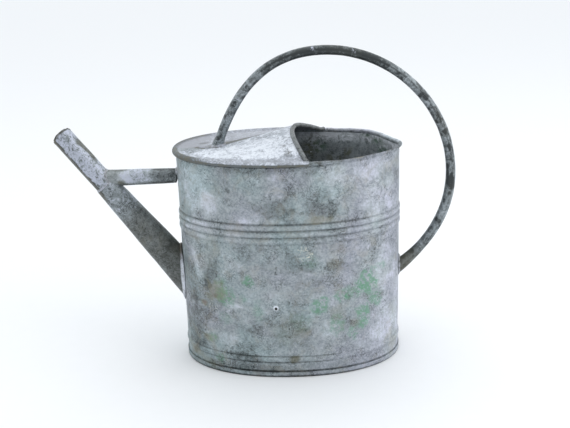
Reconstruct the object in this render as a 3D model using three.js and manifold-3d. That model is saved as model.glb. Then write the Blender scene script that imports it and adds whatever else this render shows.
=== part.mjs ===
// Oval watering can, made by hand from galvanised sheet steel and soft-soldered.
// Millimetres, +Z up. The spout points to -X and the handle's back to +X. The near side is -Y.
// Pieces are placed from the middle of the oval body, and the whole is shifted at the end so that its
// origin lies under the middle of its overall box.

import * as THREE from 'three';
import { mergeVertices } from 'three/addons/utils/BufferGeometryUtils.js';
import Module from 'manifold-3d';

const wasm = await Module();
wasm.setup();

// Sheet, wire and clearance
const sheet = 0.7;
const gap = 0.3;
const rimWire = 2.5;
const mouthWire = 3;
const mouthWireSlack = 0.5;

// Body: an oval tube with a rolled rim
const bodyLength = 270;
const bodyWidth = 172;
const bodyHeight = 266;
const ovalFullness = 2.13;
const rimOut = 0.9;
const rimNeck = 7;

// Pressed ribs and the bead near the foot
const ribCount = 3;
const ribPitch = 8.1;
const ribRise = 1.3;
const ribsBottom = 169.9;
const beadBottom = 19.6;
const beadWidth = 7;
const beadRise = 1.2;

// Recessed bottom, folded up round the wall
const bottomHeight = 7;
const chimeHeight = 7;

// Half cover with a ridge
const hoodSink = 2.3;
const hoodMoat = 6;
const ridgeStart = -85;
const ridgeRise = 20.5;
const ridgeSharpness = 1.05;
const mouthRoundnessNear = 1.9;
const mouthRoundnessFar = 1.15;
const mouthMiddle = 7;
const mouthSkew = -20;
const mouthCurve = 0.0043;
const mouthWireLift = 0.8;

// Handle: one tube in the middle plane
const handleTube = 11.6;
const handleSheet = 0.8;
const handleFoot = -85;
const handleFootLean = 19;
const crownAhead = 46;
const crownRise = 114;
const backReach = 62.7;
const backHeight = 225.8;
const handleRootHeight = 107.3;
const handleRootRise = 39;
const footPull = 64;
const crownPullFront = 75;
const crownPullBack = 81;
const backPullUp = 85;
const backPullDown = 60;
const rootPull = 32.5;
const frontFlare = 1.35;
const frontFlareLength = 14;
const rearFlare = 1.42;
const rearFlareLength = 38;

// Spout: a cone and a straight tip on one line
const spoutRise = 52.5;
const spoutRootHeight = 107;
const spoutRootDiameter = 40.7;
const spoutRootWidth = 31;
const jointBelowBrace = 10.55;
const tipDiameter = 25.2;
const tipLength = 79;
const tipOverlap = 11;
const tipSkew = 5.2;
const tipSlant = 2.6;

// Brace between spout and body, level along its top
const braceBelowRim = 24.5;
const braceSpoutDiameter = 20.6;
const braceBodyDiameter = 17.8;
const braceSlit = 1.6;

// Solder fillets
const solderWidth = 1.5;
const solderReach = 2.4;
const rootSolderReach = 6;
const filletRise = 3.9;
const filletToe = 2.5;
const filletLip = 1;
const braceSolderDepth = 7.6;
const padLength = 17;
const padWidth = 11;
const padThickness = 1.5;

// Damage: the open half of the rim is pushed in on the near side and pinched to a point at the back
const nearPush = 11;
const nearPushFrom = -75;
const farPush = 12;
const farPushTo = 40;
const farBulge = 3.5;
const farBulgeTo = 60;
const pushFade = 52;
const dentDepth = 3.5;
const dentAngle = -128;
const dentSpread = 22;
const dentHeight = 92;
const dentReach = 62;

// Facets
const turns = 48;
const roundSides = 20;
const wireSides = 6;
const foldStep = 30;
const ribSteps = 3;
const handleSides = 10;
const handleSteps = 38;
const handleSamples = 300;
const mouthSides = 8;
const mouthSteps = 20;
const mouthPoints = 12;
const edgeSteps = 24;
const padSides = 12;

// Worked out from the sizes above
const radians = (angle) => (angle * Math.PI) / 180;
const foldSlack = 1 / Math.cos(radians(foldStep / 2));
const rollRadius = (rimWire / 2 + gap + sheet / 2) * foldSlack;
const rollOuter = rollRadius + (sheet / 2) * foldSlack;
const coverRadius = rollRadius + (sheet + gap) * foldSlack;
const wallMiddle = -sheet / 2;
const coneTopDiameter = tipDiameter + 2 * (gap + sheet);
const braceTop = bodyHeight - braceBelowRim;
const braceSpoutHeight = braceTop - braceSpoutDiameter / 2;
const coneLength = (braceSpoutHeight - spoutRootHeight) / Math.sin(radians(spoutRise)) - jointBelowBrace;
const ribsTop = ribsBottom + ribCount * ribPitch;
const coverHeight = bodyHeight + rollOuter + gap + sheet - hoodSink - sheet / 2;
const bodyEnd = bodyLength / 2;
const turnRadius = 100;
const edgeBand = 20;
const crumb = 0.05;
const sliver = 0.02;
const searchStep = 0.5;
const coverDepth = 60;
const rootOverrun = 60;
const handleOverrun = 14;
const hoodRings = [-hoodMoat, -edgeBand, -36, -52, -68, -84];
const dentRows = [dentHeight - dentReach / 2, dentHeight, dentHeight + dentReach / 2];

// Oval: a superellipse, the same family for every piece that follows the body

function ovalPoint(angle, halfLength, halfWidth) {
  const power = 2 / ovalFullness;
  const along = Math.cos(angle);
  const across = Math.sin(angle);
  return new THREE.Vector2(
    halfLength * Math.sign(along) * Math.abs(along) ** power,
    halfWidth * Math.sign(across) * Math.abs(across) ** power,
  );
}

function halfWidthAt(x, inset) {
  const share = Math.min(Math.abs(x) / (bodyLength / 2 - inset), 1);
  return (bodyWidth / 2 - inset) * (1 - share ** ovalFullness) ** (1 / ovalFullness);
}

// Damage

const smooth = (t) => t * t * (3 - 2 * t);
const clamp01 = (t) => Math.min(Math.max(t, 0), 1);

// Sideways push at a place on the oval: full at the rim, fading out down to the ribs
function push(angle, height) {
  const degrees = (angle * 180) / Math.PI;
  const fade = smooth(clamp01((height - (bodyHeight - rimNeck - pushFade)) / pushFade));
  const near = clamp01((degrees - nearPushFrom) / -nearPushFrom);
  const far = clamp01(degrees / farPushTo);
  const bulge = clamp01((degrees - farPushTo) / (farBulgeTo - farPushTo));
  const farSide = farBulge * Math.sin(Math.PI * bulge) - farPush * Math.sin(Math.PI * far);
  const rim = nearPush * Math.sin(Math.PI * near) + farSide;
  const turn = clamp01(1 - Math.abs(degrees - dentAngle) / dentSpread);
  const rise = clamp01(1 - Math.abs(height - dentHeight) / dentReach);
  return rim * fade + dentDepth * smooth(turn) * smooth(rise);
}

// Hood: a ridge that climbs from the handle's foot to the mouth, sharp at first and round at the mouth

function hoodRise(x, y) {
  const along = clamp01((x - ridgeStart) / (mouthMiddle - ridgeStart));
  const half = halfWidthAt(x, hoodMoat);
  if (along === 0 || half === 0) return 0;
  const share = Math.min(Math.abs(y) / half, 1);
  const roundness = y < 0 ? mouthRoundnessNear : mouthRoundnessFar;
  const sharpness = ridgeSharpness + (roundness - ridgeSharpness) * along;
  return ridgeRise * along * (1 - share ** sharpness);
}

const mouthX = (y) => mouthMiddle + mouthCurve * (y - mouthSkew) ** 2;

// Turned solids, pulled from a circle to the oval

function turned(outline) {
  const points = outline.map(([offset, height]) => new THREE.Vector2(turnRadius + offset, height));
  if (THREE.ShapeUtils.isClockWise(points)) points.reverse();
  points.push(points[0].clone());
  const geometry = new THREE.LatheGeometry(points, turns);
  geometry.rotateX(Math.PI / 2);
  return geometry;
}

function pulledToOval(geometry, followsHood = false) {
  const position = geometry.getAttribute('position');
  for (let i = 0; i < position.count; i += 1) {
    const radius = Math.hypot(position.getX(i), position.getY(i));
    const angle = Math.atan2(position.getY(i), position.getX(i));
    const height = position.getZ(i);
    const offset = Math.max(radius - turnRadius, -edgeBand);
    const shrink = Math.min(radius / (turnRadius - edgeBand), 1);
    const place = ovalPoint(angle, bodyLength / 2 + offset, bodyWidth / 2 + offset).multiplyScalar(shrink);
    const lift = followsHood && radius < turnRadius ? hoodRise(place.x, place.y) : 0;
    const nudge = followsHood ? 0 : push(angle, height) * shrink;
    position.setXYZ(i, place.x, place.y + nudge, height + lift);
  }
  return geometry;
}

// The closed outline of a sheet that follows a middle line, with mitred corners
function sheetOutline(line, thickness) {
  const left = [];
  const right = [];
  line.forEach(([x, z], i) => {
    const before = line[Math.max(i - 1, 0)];
    const after = line[Math.min(i + 1, line.length - 1)];
    const into = new THREE.Vector2(x - before[0], z - before[1]).normalize();
    const out = new THREE.Vector2(after[0] - x, after[1] - z).normalize();
    if (i === 0) into.copy(out);
    if (i === line.length - 1) out.copy(into);
    const normal = new THREE.Vector2(-into.y - out.y, into.x + out.x).normalize();
    const mitre = thickness / 2 / Math.max(normal.dot(new THREE.Vector2(-into.y, into.x)), 0.5);
    left.push([x + normal.x * mitre, z + normal.y * mitre]);
    right.unshift([x - normal.x * mitre, z - normal.y * mitre]);
  });
  return [...left, ...right];
}

function arcLine(middleX, middleZ, radius, fromAngle, toAngle, steps) {
  return Array.from({ length: steps + 1 }, (_, i) => {
    const angle = radians(fromAngle + ((toAngle - fromAngle) * i) / steps);
    return [middleX + radius * Math.cos(angle), middleZ + radius * Math.sin(angle)];
  });
}

// A pressed rib in the wall's middle line, with its two ends
function ribLine(bottom, width, rise) {
  return Array.from({ length: ribSteps + 1 }, (_, i) => [
    wallMiddle + rise * Math.sin((Math.PI * i) / ribSteps),
    bottom + (width * i) / ribSteps,
  ]);
}

// The wall's middle line from the bead to the neck
function wallRows() {
  const ribs = Array.from(
    { length: ribCount },
    (_, i) => ribLine(ribsBottom + i * ribPitch, ribPitch, ribRise),
  );
  return [
    ...ribLine(beadBottom, beadWidth, beadRise),
    ...dentRows.map((height) => [wallMiddle, height]),
    ...ribs.flatMap((rib, i) => (i === 0 ? rib : rib.slice(1))),
    [wallMiddle, (ribsTop + bodyHeight - rimNeck) / 2],
    [wallMiddle, bodyHeight - rimNeck],
  ];
}

// Boolean work

function toSolid(geometry) {
  const bare = geometry.clone();
  bare.deleteAttribute('normal');
  bare.deleteAttribute('uv');
  const merged = mergeVertices(bare, 1e-3);
  const corners = merged.getIndex().array;
  const whole = [];
  for (let i = 0; i < corners.length; i += 3) {
    const [a, b, c] = corners.slice(i, i + 3);
    if (a !== b && b !== c && c !== a) whole.push(a, b, c);
  }
  const solid = new wasm.Manifold(new wasm.Mesh({
    numProp: 3,
    vertProperties: Float32Array.from(merged.getAttribute('position').array),
    triVerts: Uint32Array.from(whole),
  }));
  return solid;
}

// Cutting one faceted piece by another can leave slivers a few hundredths of a millimetre wide, and crumbs
// of a few hundredths of a cubic millimetre
function withoutCrumbs(solid) {
  const whole = solid.simplify(sliver).decompose().filter((body) => body.volume() > crumb);
  return wasm.Manifold.compose(whole);
}

function toGeometry(solid) {
  const mesh = withoutCrumbs(solid).getMesh();
  const geometry = new THREE.BufferGeometry();
  geometry.setAttribute('position', new THREE.BufferAttribute(Float32Array.from(mesh.vertProperties), 3));
  geometry.setIndex(Array.from(mesh.triVerts));
  geometry.computeVertexNormals();
  return geometry;
}

// Tubes

function ringShape(radius, sides, holeRadius = 0) {
  const corners = (size) => Array.from({ length: sides }, (_, i) => {
    const angle = (2 * Math.PI * i) / sides;
    return new THREE.Vector2(size * Math.cos(angle), size * Math.sin(angle));
  });
  const shape = new THREE.Shape(corners(radius));
  if (holeRadius > 0) shape.holes.push(new THREE.Path(corners(holeRadius)));
  return shape;
}

function tubeAlong(path, steps, radius, sides, holeRadius = 0) {
  return new THREE.ExtrudeGeometry(ringShape(radius, sides, holeRadius), { steps, extrudePath: path });
}

// A straight round solid from one point to another, with a radius at each end, each end's width across
// the middle plane as a share of its height, and its facets turned by a share of one facet
function coneBetween(from, to, fromRadius, toRadius, fromShare = 1, toShare = 1, turnShare = 0) {
  const along = new THREE.Vector3().subVectors(to, from);
  const geometry = new THREE.CylinderGeometry(toRadius, fromRadius, along.length(), roundSides);
  geometry.rotateY((turnShare * 2 * Math.PI) / roundSides);
  geometry.translate(0, along.length() / 2, 0);
  geometry.applyQuaternion(new THREE.Quaternion().setFromUnitVectors(
    new THREE.Vector3(0, 1, 0),
    along.clone().normalize(),
  ));
  const position = geometry.getAttribute('position');
  const corner = new THREE.Vector3();
  for (let i = 0; i < position.count; i += 1) {
    corner.fromBufferAttribute(position, i);
    const share = fromShare + ((toShare - fromShare) * corner.dot(along)) / along.lengthSq();
    position.setY(i, corner.y * share);
  }
  geometry.translate(from.x, from.y, from.z);
  return toSolid(geometry);
}

// Spaces that other pieces are cut to: the filled body and the filled hood, a clearance larger all round

function bodySpace(clearance) {
  return toSolid(pulledToOval(turned([
    [-turnRadius, 0],
    [clearance, 0],
    ...wallRows().map(([middle, height]) => [middle + sheet / 2 + clearance, height]),
    [-turnRadius, bodyHeight - rimNeck],
  ])));
}

function hoodSpace(clearance) {
  const top = coverHeight + sheet / 2 + clearance;
  return toSolid(pulledToOval(turned([
    [-turnRadius, top - coverDepth],
    [-hoodMoat, top - coverDepth],
    ...hoodRings.map((offset) => [offset, top]),
    [-turnRadius, top],
  ]), true));
}

// The spout's and the brace's middle lines

const spoutWay = new THREE.Vector3(-Math.cos(radians(spoutRise)), 0, Math.sin(radians(spoutRise)));
const spoutRoot = new THREE.Vector3(-bodyEnd, 0, spoutRootHeight);
const spoutPoint = (distance) => spoutRoot.clone().addScaledVector(spoutWay, distance);
const coneTaper = (spoutRootDiameter - coneTopDiameter) / 2 / coneLength;
const coneRadius = (distance) => spoutRootDiameter / 2 - coneTaper * distance;
const coneNarrowing = (spoutRootWidth - coneTopDiameter) / 2 / coneLength;
const coneHalfWidth = (distance) => spoutRootWidth / 2 - coneNarrowing * distance;

function coneSolid(fromDistance, toDistance, larger) {
  const radius = (distance) => coneRadius(distance) + larger;
  const share = (distance) => (coneHalfWidth(distance) + larger) / radius(distance);
  return coneBetween(
    spoutPoint(fromDistance),
    spoutPoint(toDistance),
    radius(fromDistance),
    radius(toDistance),
    share(fromDistance),
    share(toDistance),
  );
}

function tipSolid(fromDistance, toDistance, larger) {
  const radius = tipDiameter / 2 + larger;
  return coneBetween(spoutPoint(fromDistance), spoutPoint(toDistance), radius, radius);
}

function braceSolid(larger) {
  const spoutRadius = braceSpoutDiameter / 2;
  const bodyRadius = braceBodyDiameter / 2;
  const from = spoutPoint(coneLength + jointBelowBrace);
  const to = new THREE.Vector3(-bodyEnd, 0, braceTop - bodyRadius);
  return coneBetween(from, to, spoutRadius + larger, bodyRadius + larger, 1, 1, 1 / 2);
}

// The handle's middle line: foot, crown, back and root, joined by three curves

const handlePoint = (x, z) => new THREE.Vector3(x, 0, z);
const footWay = handlePoint(Math.sin(radians(handleFootLean)), Math.cos(radians(handleFootLean)));
const rootWay = handlePoint(Math.cos(radians(handleRootRise)), Math.sin(radians(handleRootRise)));
const footPoint = handlePoint(handleFoot, bodyHeight);
const crownPoint = handlePoint(crownAhead, bodyHeight + crownRise);
const backPoint = handlePoint(bodyEnd + backReach, backHeight);
const rootPoint = handlePoint(bodyEnd, handleRootHeight);

function handlePath() {
  const path = new THREE.CurvePath();
  path.add(new THREE.LineCurve3(footPoint.clone().addScaledVector(footWay, -handleOverrun), footPoint));
  path.add(new THREE.CubicBezierCurve3(
    footPoint,
    footPoint.clone().addScaledVector(footWay, footPull),
    crownPoint.clone().add(handlePoint(-crownPullFront, 0)),
    crownPoint,
  ));
  path.add(new THREE.CubicBezierCurve3(
    crownPoint,
    crownPoint.clone().add(handlePoint(crownPullBack, 0)),
    backPoint.clone().add(handlePoint(0, backPullUp)),
    backPoint,
  ));
  path.add(new THREE.CubicBezierCurve3(
    backPoint,
    backPoint.clone().add(handlePoint(0, -backPullDown)),
    rootPoint.clone().addScaledVector(rootWay, rootPull),
    rootPoint,
  ));
  path.add(new THREE.LineCurve3(rootPoint, rootPoint.clone().addScaledVector(rootWay, -handleOverrun)));
  return path;
}

// The tube opens out towards both ends, in the middle plane only
function handleSolid(radius, holeRadius = 0) {
  const path = handlePath();
  const geometry = tubeAlong(path, handleSteps, radius, handleSides, holeRadius);
  const samples = path.getSpacedPoints(handleSamples);
  const length = path.getLength();
  const position = geometry.getAttribute('position');
  const corner = new THREE.Vector3();
  for (let i = 0; i < position.count; i += 1) {
    corner.fromBufferAttribute(position, i);
    const distances = samples.map((sample) => sample.distanceToSquared(corner));
    const nearest = distances.indexOf(Math.min(...distances));
    const fromFoot = (length * nearest) / (samples.length - 1) - handleOverrun;
    const fromRoot = length - 2 * handleOverrun - fromFoot;
    const front = clamp01(1 - fromFoot / frontFlareLength) * (frontFlare - 1);
    const rear = clamp01(1 - fromRoot / rearFlareLength) * (rearFlare - 1);
    const middle = samples[nearest];
    const stretch = 1 + front + rear;
    position.setX(i, middle.x + (corner.x - middle.x) * stretch);
    position.setZ(i, middle.z + (corner.z - middle.z) * stretch);
  }
  return toSolid(geometry);
}

// Body wall: foot, bead, ribs, neck and the roll round the rim wire

function wallGeometry() {
  const line = [
    [wallMiddle, sheet + gap],
    ...wallRows(),
    ...arcLine(rimOut, bodyHeight, rollRadius, 180, -120, 300 / foldStep),
  ];
  const wall = toSolid(pulledToOval(turned(sheetOutline(line, sheet))));
  const spoutHole = coneSolid(-rootOverrun / 2, rootOverrun / 2, -2 * sheet);
  return toGeometry(wall.subtract(spoutHole));
}

function bottomGeometry() {
  const inner = -sheet - gap;
  return toGeometry(toSolid(pulledToOval(turned([
    [-turnRadius, bottomHeight],
    [inner - sheet, bottomHeight],
    [inner - sheet, 0],
    [gap + sheet, 0],
    [gap + sheet, chimeHeight],
    [gap, chimeHeight],
    [gap, sheet],
    [inner, sheet],
    [inner, bottomHeight + sheet],
    [-turnRadius, bottomHeight + sheet],
  ]))));
}

function rimWireGeometry() {
  const circle = arcLine(rimOut, bodyHeight, rimWire / 2, 0, 360, wireSides).slice(0, wireSides);
  return toGeometry(toSolid(pulledToOval(turned(circle))));
}

// Hood: turned with its edge folded over the rim, cut at the mouth and rolled round the mouth wire there

// The mouth's edge as a curve in space, from the near side of the rim to the far side
function mouthPath() {
  const inside = (y) => Math.abs(y) < halfWidthAt(mouthX(y), 0);
  let near = 0;
  let far = 0;
  while (inside(near - searchStep)) near -= searchStep;
  while (inside(far + searchStep)) far += searchStep;
  const points = Array.from({ length: mouthPoints + 1 }, (_, i) => {
    const y = near + ((far - near) * i) / mouthPoints;
    return new THREE.Vector3(mouthX(y), y, coverHeight + mouthWireLift + hoodRise(mouthX(y), y));
  });
  return new THREE.CatmullRomCurve3(points);
}

const mouthTube = (radius) => toSolid(tubeAlong(mouthPath(), mouthSteps, radius, mouthSides));

// What the wall's roll and neck fill, a clearance larger
function rimSpace() {
  const roll = arcLine(rimOut, bodyHeight, rollOuter + gap, foldStep, 360, 360 / foldStep - 1);
  const neckTop = rimOut - rollRadius;
  const neck = [[wallMiddle, bodyHeight - rimNeck], [neckTop, bodyHeight], [rimOut, bodyHeight]];
  return toSolid(pulledToOval(turned(roll)))
    .add(toSolid(pulledToOval(turned(sheetOutline(neck, sheet + 2 * gap)))));
}

// Everything past the mouth's edge
function beyondMouth() {
  const edge = Array.from({ length: edgeSteps + 1 }, (_, i) => {
    const y = -bodyWidth + (2 * bodyWidth * i) / edgeSteps;
    return new THREE.Vector2(mouthX(y), y);
  });
  const back = Math.max(bodyLength, edge[0].x, edge[edgeSteps].x) + bodyLength;
  const corners = [new THREE.Vector2(back, bodyWidth), new THREE.Vector2(back, -bodyWidth)];
  const shape = new THREE.Shape([...edge, ...corners]);
  const geometry = new THREE.ExtrudeGeometry(shape, { depth: bodyHeight, bevelEnabled: false });
  geometry.translate(0, 0, bodyHeight / 2);
  return toSolid(geometry);
}

function hoodGeometry() {
  const line = [
    ...arcLine(rimOut, bodyHeight, coverRadius, -60, 150, 210 / foldStep),
    ...hoodRings.map((offset) => [offset, coverHeight]),
    [-turnRadius, coverHeight],
  ];
  const cover = toSolid(pulledToOval(turned(sheetOutline(line, sheet)), true));
  const roll = mouthTube(mouthWire / 2 + mouthWireSlack + sheet);
  const bore = mouthTube(mouthWire / 2 + mouthWireSlack);
  return toGeometry(cover.subtract(beyondMouth()).add(roll.subtract(rimSpace())).subtract(bore));
}

// The wire stops short of the rim's roll
function mouthWireGeometry() {
  const clear = -2 * rollOuter - gap;
  const inside = turned([
    [-turnRadius, bodyHeight - coverDepth],
    [clear, bodyHeight - coverDepth],
    [clear, bodyHeight + coverDepth],
    [-turnRadius, bodyHeight + coverDepth],
  ]);
  return toGeometry(mouthTube(mouthWire / 2).intersect(toSolid(pulledToOval(inside, true))));
}

function handleGeometry() {
  const tube = handleSolid(handleTube / 2, handleTube / 2 - handleSheet);
  return toGeometry(tube.subtract(hoodSpace(gap)).subtract(bodySpace(gap)));
}

// Spout and brace

function spoutConeGeometry() {
  const bore = coneSolid(-rootOverrun - 1, coneLength + 1, -sheet);
  const hollow = coneSolid(-rootOverrun, coneLength, 0).subtract(bore);
  return toGeometry(hollow.subtract(bodySpace(gap)));
}

function spoutTipGeometry() {
  const tube = tipSolid(coneLength - tipOverlap, coneLength + tipLength + tipDiameter, 0);
  const bore = tipSolid(0, coneLength + tipLength + 2 * tipDiameter, -sheet);
  return toGeometry(tube.subtract(bore).subtract(beyondTip()));
}

// The tip's end is cut askew: the near side stands out by the skew, and the upper side by the slant
function beyondTip() {
  const cut = new THREE.BoxGeometry(4 * tipDiameter, 4 * tipDiameter, 4 * tipDiameter);
  cut.translate(0, 2 * tipDiameter, 0);
  const upper = new THREE.Vector3(spoutWay.z, 0, -spoutWay.x);
  const facing = new THREE.Vector3(0, tipSkew, 0).addScaledVector(upper, -tipSlant)
    .addScaledVector(spoutWay, tipDiameter / 2).normalize();
  cut.applyQuaternion(new THREE.Quaternion().setFromUnitVectors(new THREE.Vector3(0, 1, 0), facing));
  const end = spoutPoint(coneLength + tipLength);
  cut.translate(end.x, end.y, end.z);
  return toSolid(cut);
}

const spoutSpace = (larger) => coneSolid(-rootOverrun, coneLength + larger, larger)
  .add(tipSolid(coneLength - tipOverlap, coneLength + tipLength, larger));

// The brace's body end is cut at a slant, which leaves the open slit below the solder
function braceEndSpace(fromTop, atBottom) {
  const bottom = braceTop - braceBodyDiameter;
  const shape = new THREE.Shape([
    new THREE.Vector2(-bodyEnd - atBottom, bottom - solderReach),
    new THREE.Vector2(0, bottom - solderReach),
    new THREE.Vector2(0, braceTop + solderReach),
    new THREE.Vector2(-bodyEnd - fromTop, braceTop + solderReach),
  ]);
  const geometry = new THREE.ExtrudeGeometry(shape, { depth: bodyWidth, bevelEnabled: false });
  geometry.rotateX(Math.PI / 2);
  geometry.translate(0, bodyWidth / 2, 0);
  return toSolid(geometry);
}

function braceGeometry() {
  const tube = braceSolid(0).subtract(braceSolid(-sheet));
  return toGeometry(tube
    .subtract(spoutSpace(gap))
    .subtract(bodySpace(gap))
    .subtract(braceEndSpace(gap, braceSlit)));
}

// Solder

function solderSpoutRoot() {
  const inner = coneSolid(-rootOverrun - 1, coneLength, gap);
  const band = coneSolid(-rootOverrun, coneLength / 2, gap + solderWidth).subtract(inner);
  return toGeometry(band.intersect(bodySpace(gap + rootSolderReach)).subtract(bodySpace(gap)));
}

function solderSpoutJoint() {
  const ring = tipSolid(coneLength + gap, coneLength + solderReach, (coneTopDiameter - tipDiameter) / 2);
  return toGeometry(ring.subtract(tipSolid(0, coneLength + tipLength, gap)).subtract(braceSolid(gap)));
}

function solderBraceSpout() {
  const sleeve = braceSolid(gap + solderWidth).subtract(braceSolid(gap));
  const larger = (coneTopDiameter - tipDiameter) / 2;
  const joint = tipSolid(coneLength - gap, coneLength + solderReach + gap, larger + gap);
  return toGeometry(sleeve
    .intersect(spoutSpace(gap + solderReach))
    .subtract(spoutSpace(gap))
    .subtract(joint));
}

function solderBraceBody() {
  const sleeve = braceSolid(gap + solderWidth).subtract(braceSolid(gap));
  const above = new THREE.BoxGeometry(bodyLength, bodyWidth, bodyHeight);
  above.translate(-bodyEnd, 0, braceTop - braceSolderDepth + bodyHeight / 2);
  return toGeometry(sleeve
    .intersect(bodySpace(gap + solderReach))
    .subtract(bodySpace(gap))
    .intersect(toSolid(above)));
}

// The front fillet is a low cone round the handle's foot, with a ragged pad ahead of it
function solderHandleFront() {
  const surface = coverHeight + sheet / 2;
  const foot = footPoint.clone().addScaledVector(footWay, (surface - bodyHeight) / footWay.z);
  const wide = (handleTube / 2) * frontFlare + filletToe;
  const fillet = coneBetween(
    foot.clone().addScaledVector(footWay, -solderReach),
    foot.clone().addScaledVector(footWay, filletRise),
    wide,
    handleTube / 2 + gap + filletLip,
  );
  const padMiddle = foot.clone().add(handlePoint(-padLength / 2 - handleTube / 2, 0));
  const pad = new THREE.CylinderGeometry(padLength / 2, padLength / 2, 2 * (padThickness + gap), padSides);
  pad.rotateX(Math.PI / 2);
  pad.scale(1, padWidth / padLength, 1);
  pad.translate(padMiddle.x, padMiddle.y, surface);
  return toGeometry(fillet
    .add(toSolid(pad))
    .subtract(hoodSpace(gap))
    .subtract(handleSolid(handleTube / 2 + gap)));
}

function solderHandleRear() {
  const thick = handleSolid(handleTube / 2 + gap + solderWidth);
  return toGeometry(thick
    .intersect(bodySpace(gap + solderReach))
    .subtract(bodySpace(gap))
    .subtract(handleSolid(handleTube / 2 + gap)));
}

// Finishes

const zinc = { color: 0x9aa0a6, roughness: 0.62, metalness: 0.45 };
const palerZinc = { color: 0xb4b6ba, roughness: 0.7, metalness: 0.3 };
const darkZinc = { color: 0x6c7074, roughness: 0.55, metalness: 0.5 };
const solderMetal = { color: 0x8d8d8a, roughness: 0.6, metalness: 0.4 };
const wireSteel = { color: 0x5a504a, roughness: 0.75, metalness: 0.4 };

const can = new THREE.Group();

function addPiece(name, geometry, finish) {
  const piece = new THREE.Mesh(geometry, new THREE.MeshStandardMaterial(finish));
  piece.name = name;
  can.add(piece);
}

addPiece('body_wall', wallGeometry(), zinc);
addPiece('bottom_pan', bottomGeometry(), zinc);
addPiece('rim_wire', rimWireGeometry(), wireSteel);
addPiece('hood', hoodGeometry(), palerZinc);
addPiece('mouth_wire', mouthWireGeometry(), wireSteel);
addPiece('handle_tube', handleGeometry(), darkZinc);
addPiece('spout_cone', spoutConeGeometry(), darkZinc);
addPiece('spout_tip', spoutTipGeometry(), palerZinc);
addPiece('brace_tube', braceGeometry(), darkZinc);
addPiece('solder_spout_root', solderSpoutRoot(), solderMetal);
addPiece('solder_spout_joint', solderSpoutJoint(), solderMetal);
addPiece('solder_brace_spout', solderBraceSpout(), solderMetal);
addPiece('solder_brace_body', solderBraceBody(), solderMetal);
addPiece('solder_handle_front', solderHandleFront(), solderMetal);
addPiece('solder_handle_rear', solderHandleRear(), solderMetal);

const box = new THREE.Box3().setFromObject(can);
can.position.set(-(box.min.x + box.max.x) / 2, -(box.min.y + box.max.y) / 2, -box.min.z);

const root = new THREE.Group();
root.add(can);

export default root;
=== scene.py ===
"""An oval hand-made watering can of weathered galvanised sheet: the surfaces, finishes and stage."""

import math  # noqa: E402

import bpy  # noqa: E402
import numpy as np  # noqa: E402
from bpy.props import FloatProperty, FloatVectorProperty, PointerProperty  # noqa: E402
from mathutils import Matrix, Vector  # noqa: E402


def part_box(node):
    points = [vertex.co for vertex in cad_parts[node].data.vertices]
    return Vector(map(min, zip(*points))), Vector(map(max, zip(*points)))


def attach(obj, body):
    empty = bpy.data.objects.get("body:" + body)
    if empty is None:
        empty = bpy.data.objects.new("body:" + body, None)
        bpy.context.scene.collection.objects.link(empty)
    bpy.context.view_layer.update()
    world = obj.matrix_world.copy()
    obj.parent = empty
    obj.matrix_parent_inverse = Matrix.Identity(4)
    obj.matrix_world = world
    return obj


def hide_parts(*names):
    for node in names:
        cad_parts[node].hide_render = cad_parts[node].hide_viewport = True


bl_info = {
    "name": "Weathered oval watering can",
    "version": (1, 0, 0),
    "blender": (4, 5, 0),
    "location": "3D View > Sidebar > Watering can",
    "description": "Builds an old galvanised watering can piece by piece",
    "category": "Add Mesh",
}

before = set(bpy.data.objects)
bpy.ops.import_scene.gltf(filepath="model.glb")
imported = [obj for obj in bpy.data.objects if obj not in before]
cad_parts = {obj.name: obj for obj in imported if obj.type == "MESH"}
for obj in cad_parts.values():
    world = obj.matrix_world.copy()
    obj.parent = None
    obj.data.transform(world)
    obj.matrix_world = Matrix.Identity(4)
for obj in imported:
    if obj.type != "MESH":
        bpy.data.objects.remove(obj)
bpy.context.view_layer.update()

# Every shape is worked out in millimetres from the middle of the body's foot, and made metres at the end
PAN_LOW, PAN_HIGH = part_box("bottom_pan")
BODY_MIDDLE = (PAN_LOW.x + PAN_HIGH.x) / 2 * 1000

# Body
HALF_LENGTH = 135.0
HALF_WIDTH = 86.0
HEIGHT = 266.0
FULLNESS = 2.13
SHEET = 0.7
RIM_OUT = 0.9
NECK_FROM = 259.0
ROLL_RADIUS = 1.967
RIM_WIRE_RADIUS = 1.25
RIBS_FROM = 169.9
RIB_PITCH = 8.1
RIB_COUNT = 3
BEAD_FROM = 19.6
BEAD_WIDTH = 7.0
FLOOR_HEIGHT = 7.35
BAND_TOP = 7.0
SEAM_ANGLE = 24.0
PAN_INSET = -1.35
PAN_OUT = 0.65
PAN_FOOT = 0.35
PAN_CORNER = 0.55
NEAR_PUSH = 11.0
NEAR_PUSH_FROM = -75
FAR_PUSH = 12.0
FAR_PUSH_TO = 40
FAR_BULGE = 5.5
FAR_BULGE_FROM = 20
FAR_BULGE_SPAN = 44
PUSH_FADE = 52
DENT_DEPTH = 3.5
DENT_ANGLE = -128.0
DENT_SPREAD = 22.0
DENT_HEIGHT = 92.0
DENT_REACH = 62.0

# Hood
COVER_HEIGHT = 266.68
MOAT = 6.0
FOLD_RADIUS = 3.002
RIDGE_FROM = -85.0
RIDGE_RISE = 21.3
RIDGE_BLUNT = 16.0
MOUTH_MIDDLE = 6.4
MOUTH_CURVE = 0.0043
MOUTH_FAR_CURVE = 0.0039
MOUTH_SKEW = -20.0
HEM_LIFT = 0.8
HEM_RADIUS = 2.7
MOUTH_WIRE_RADIUS = 1.5

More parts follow.
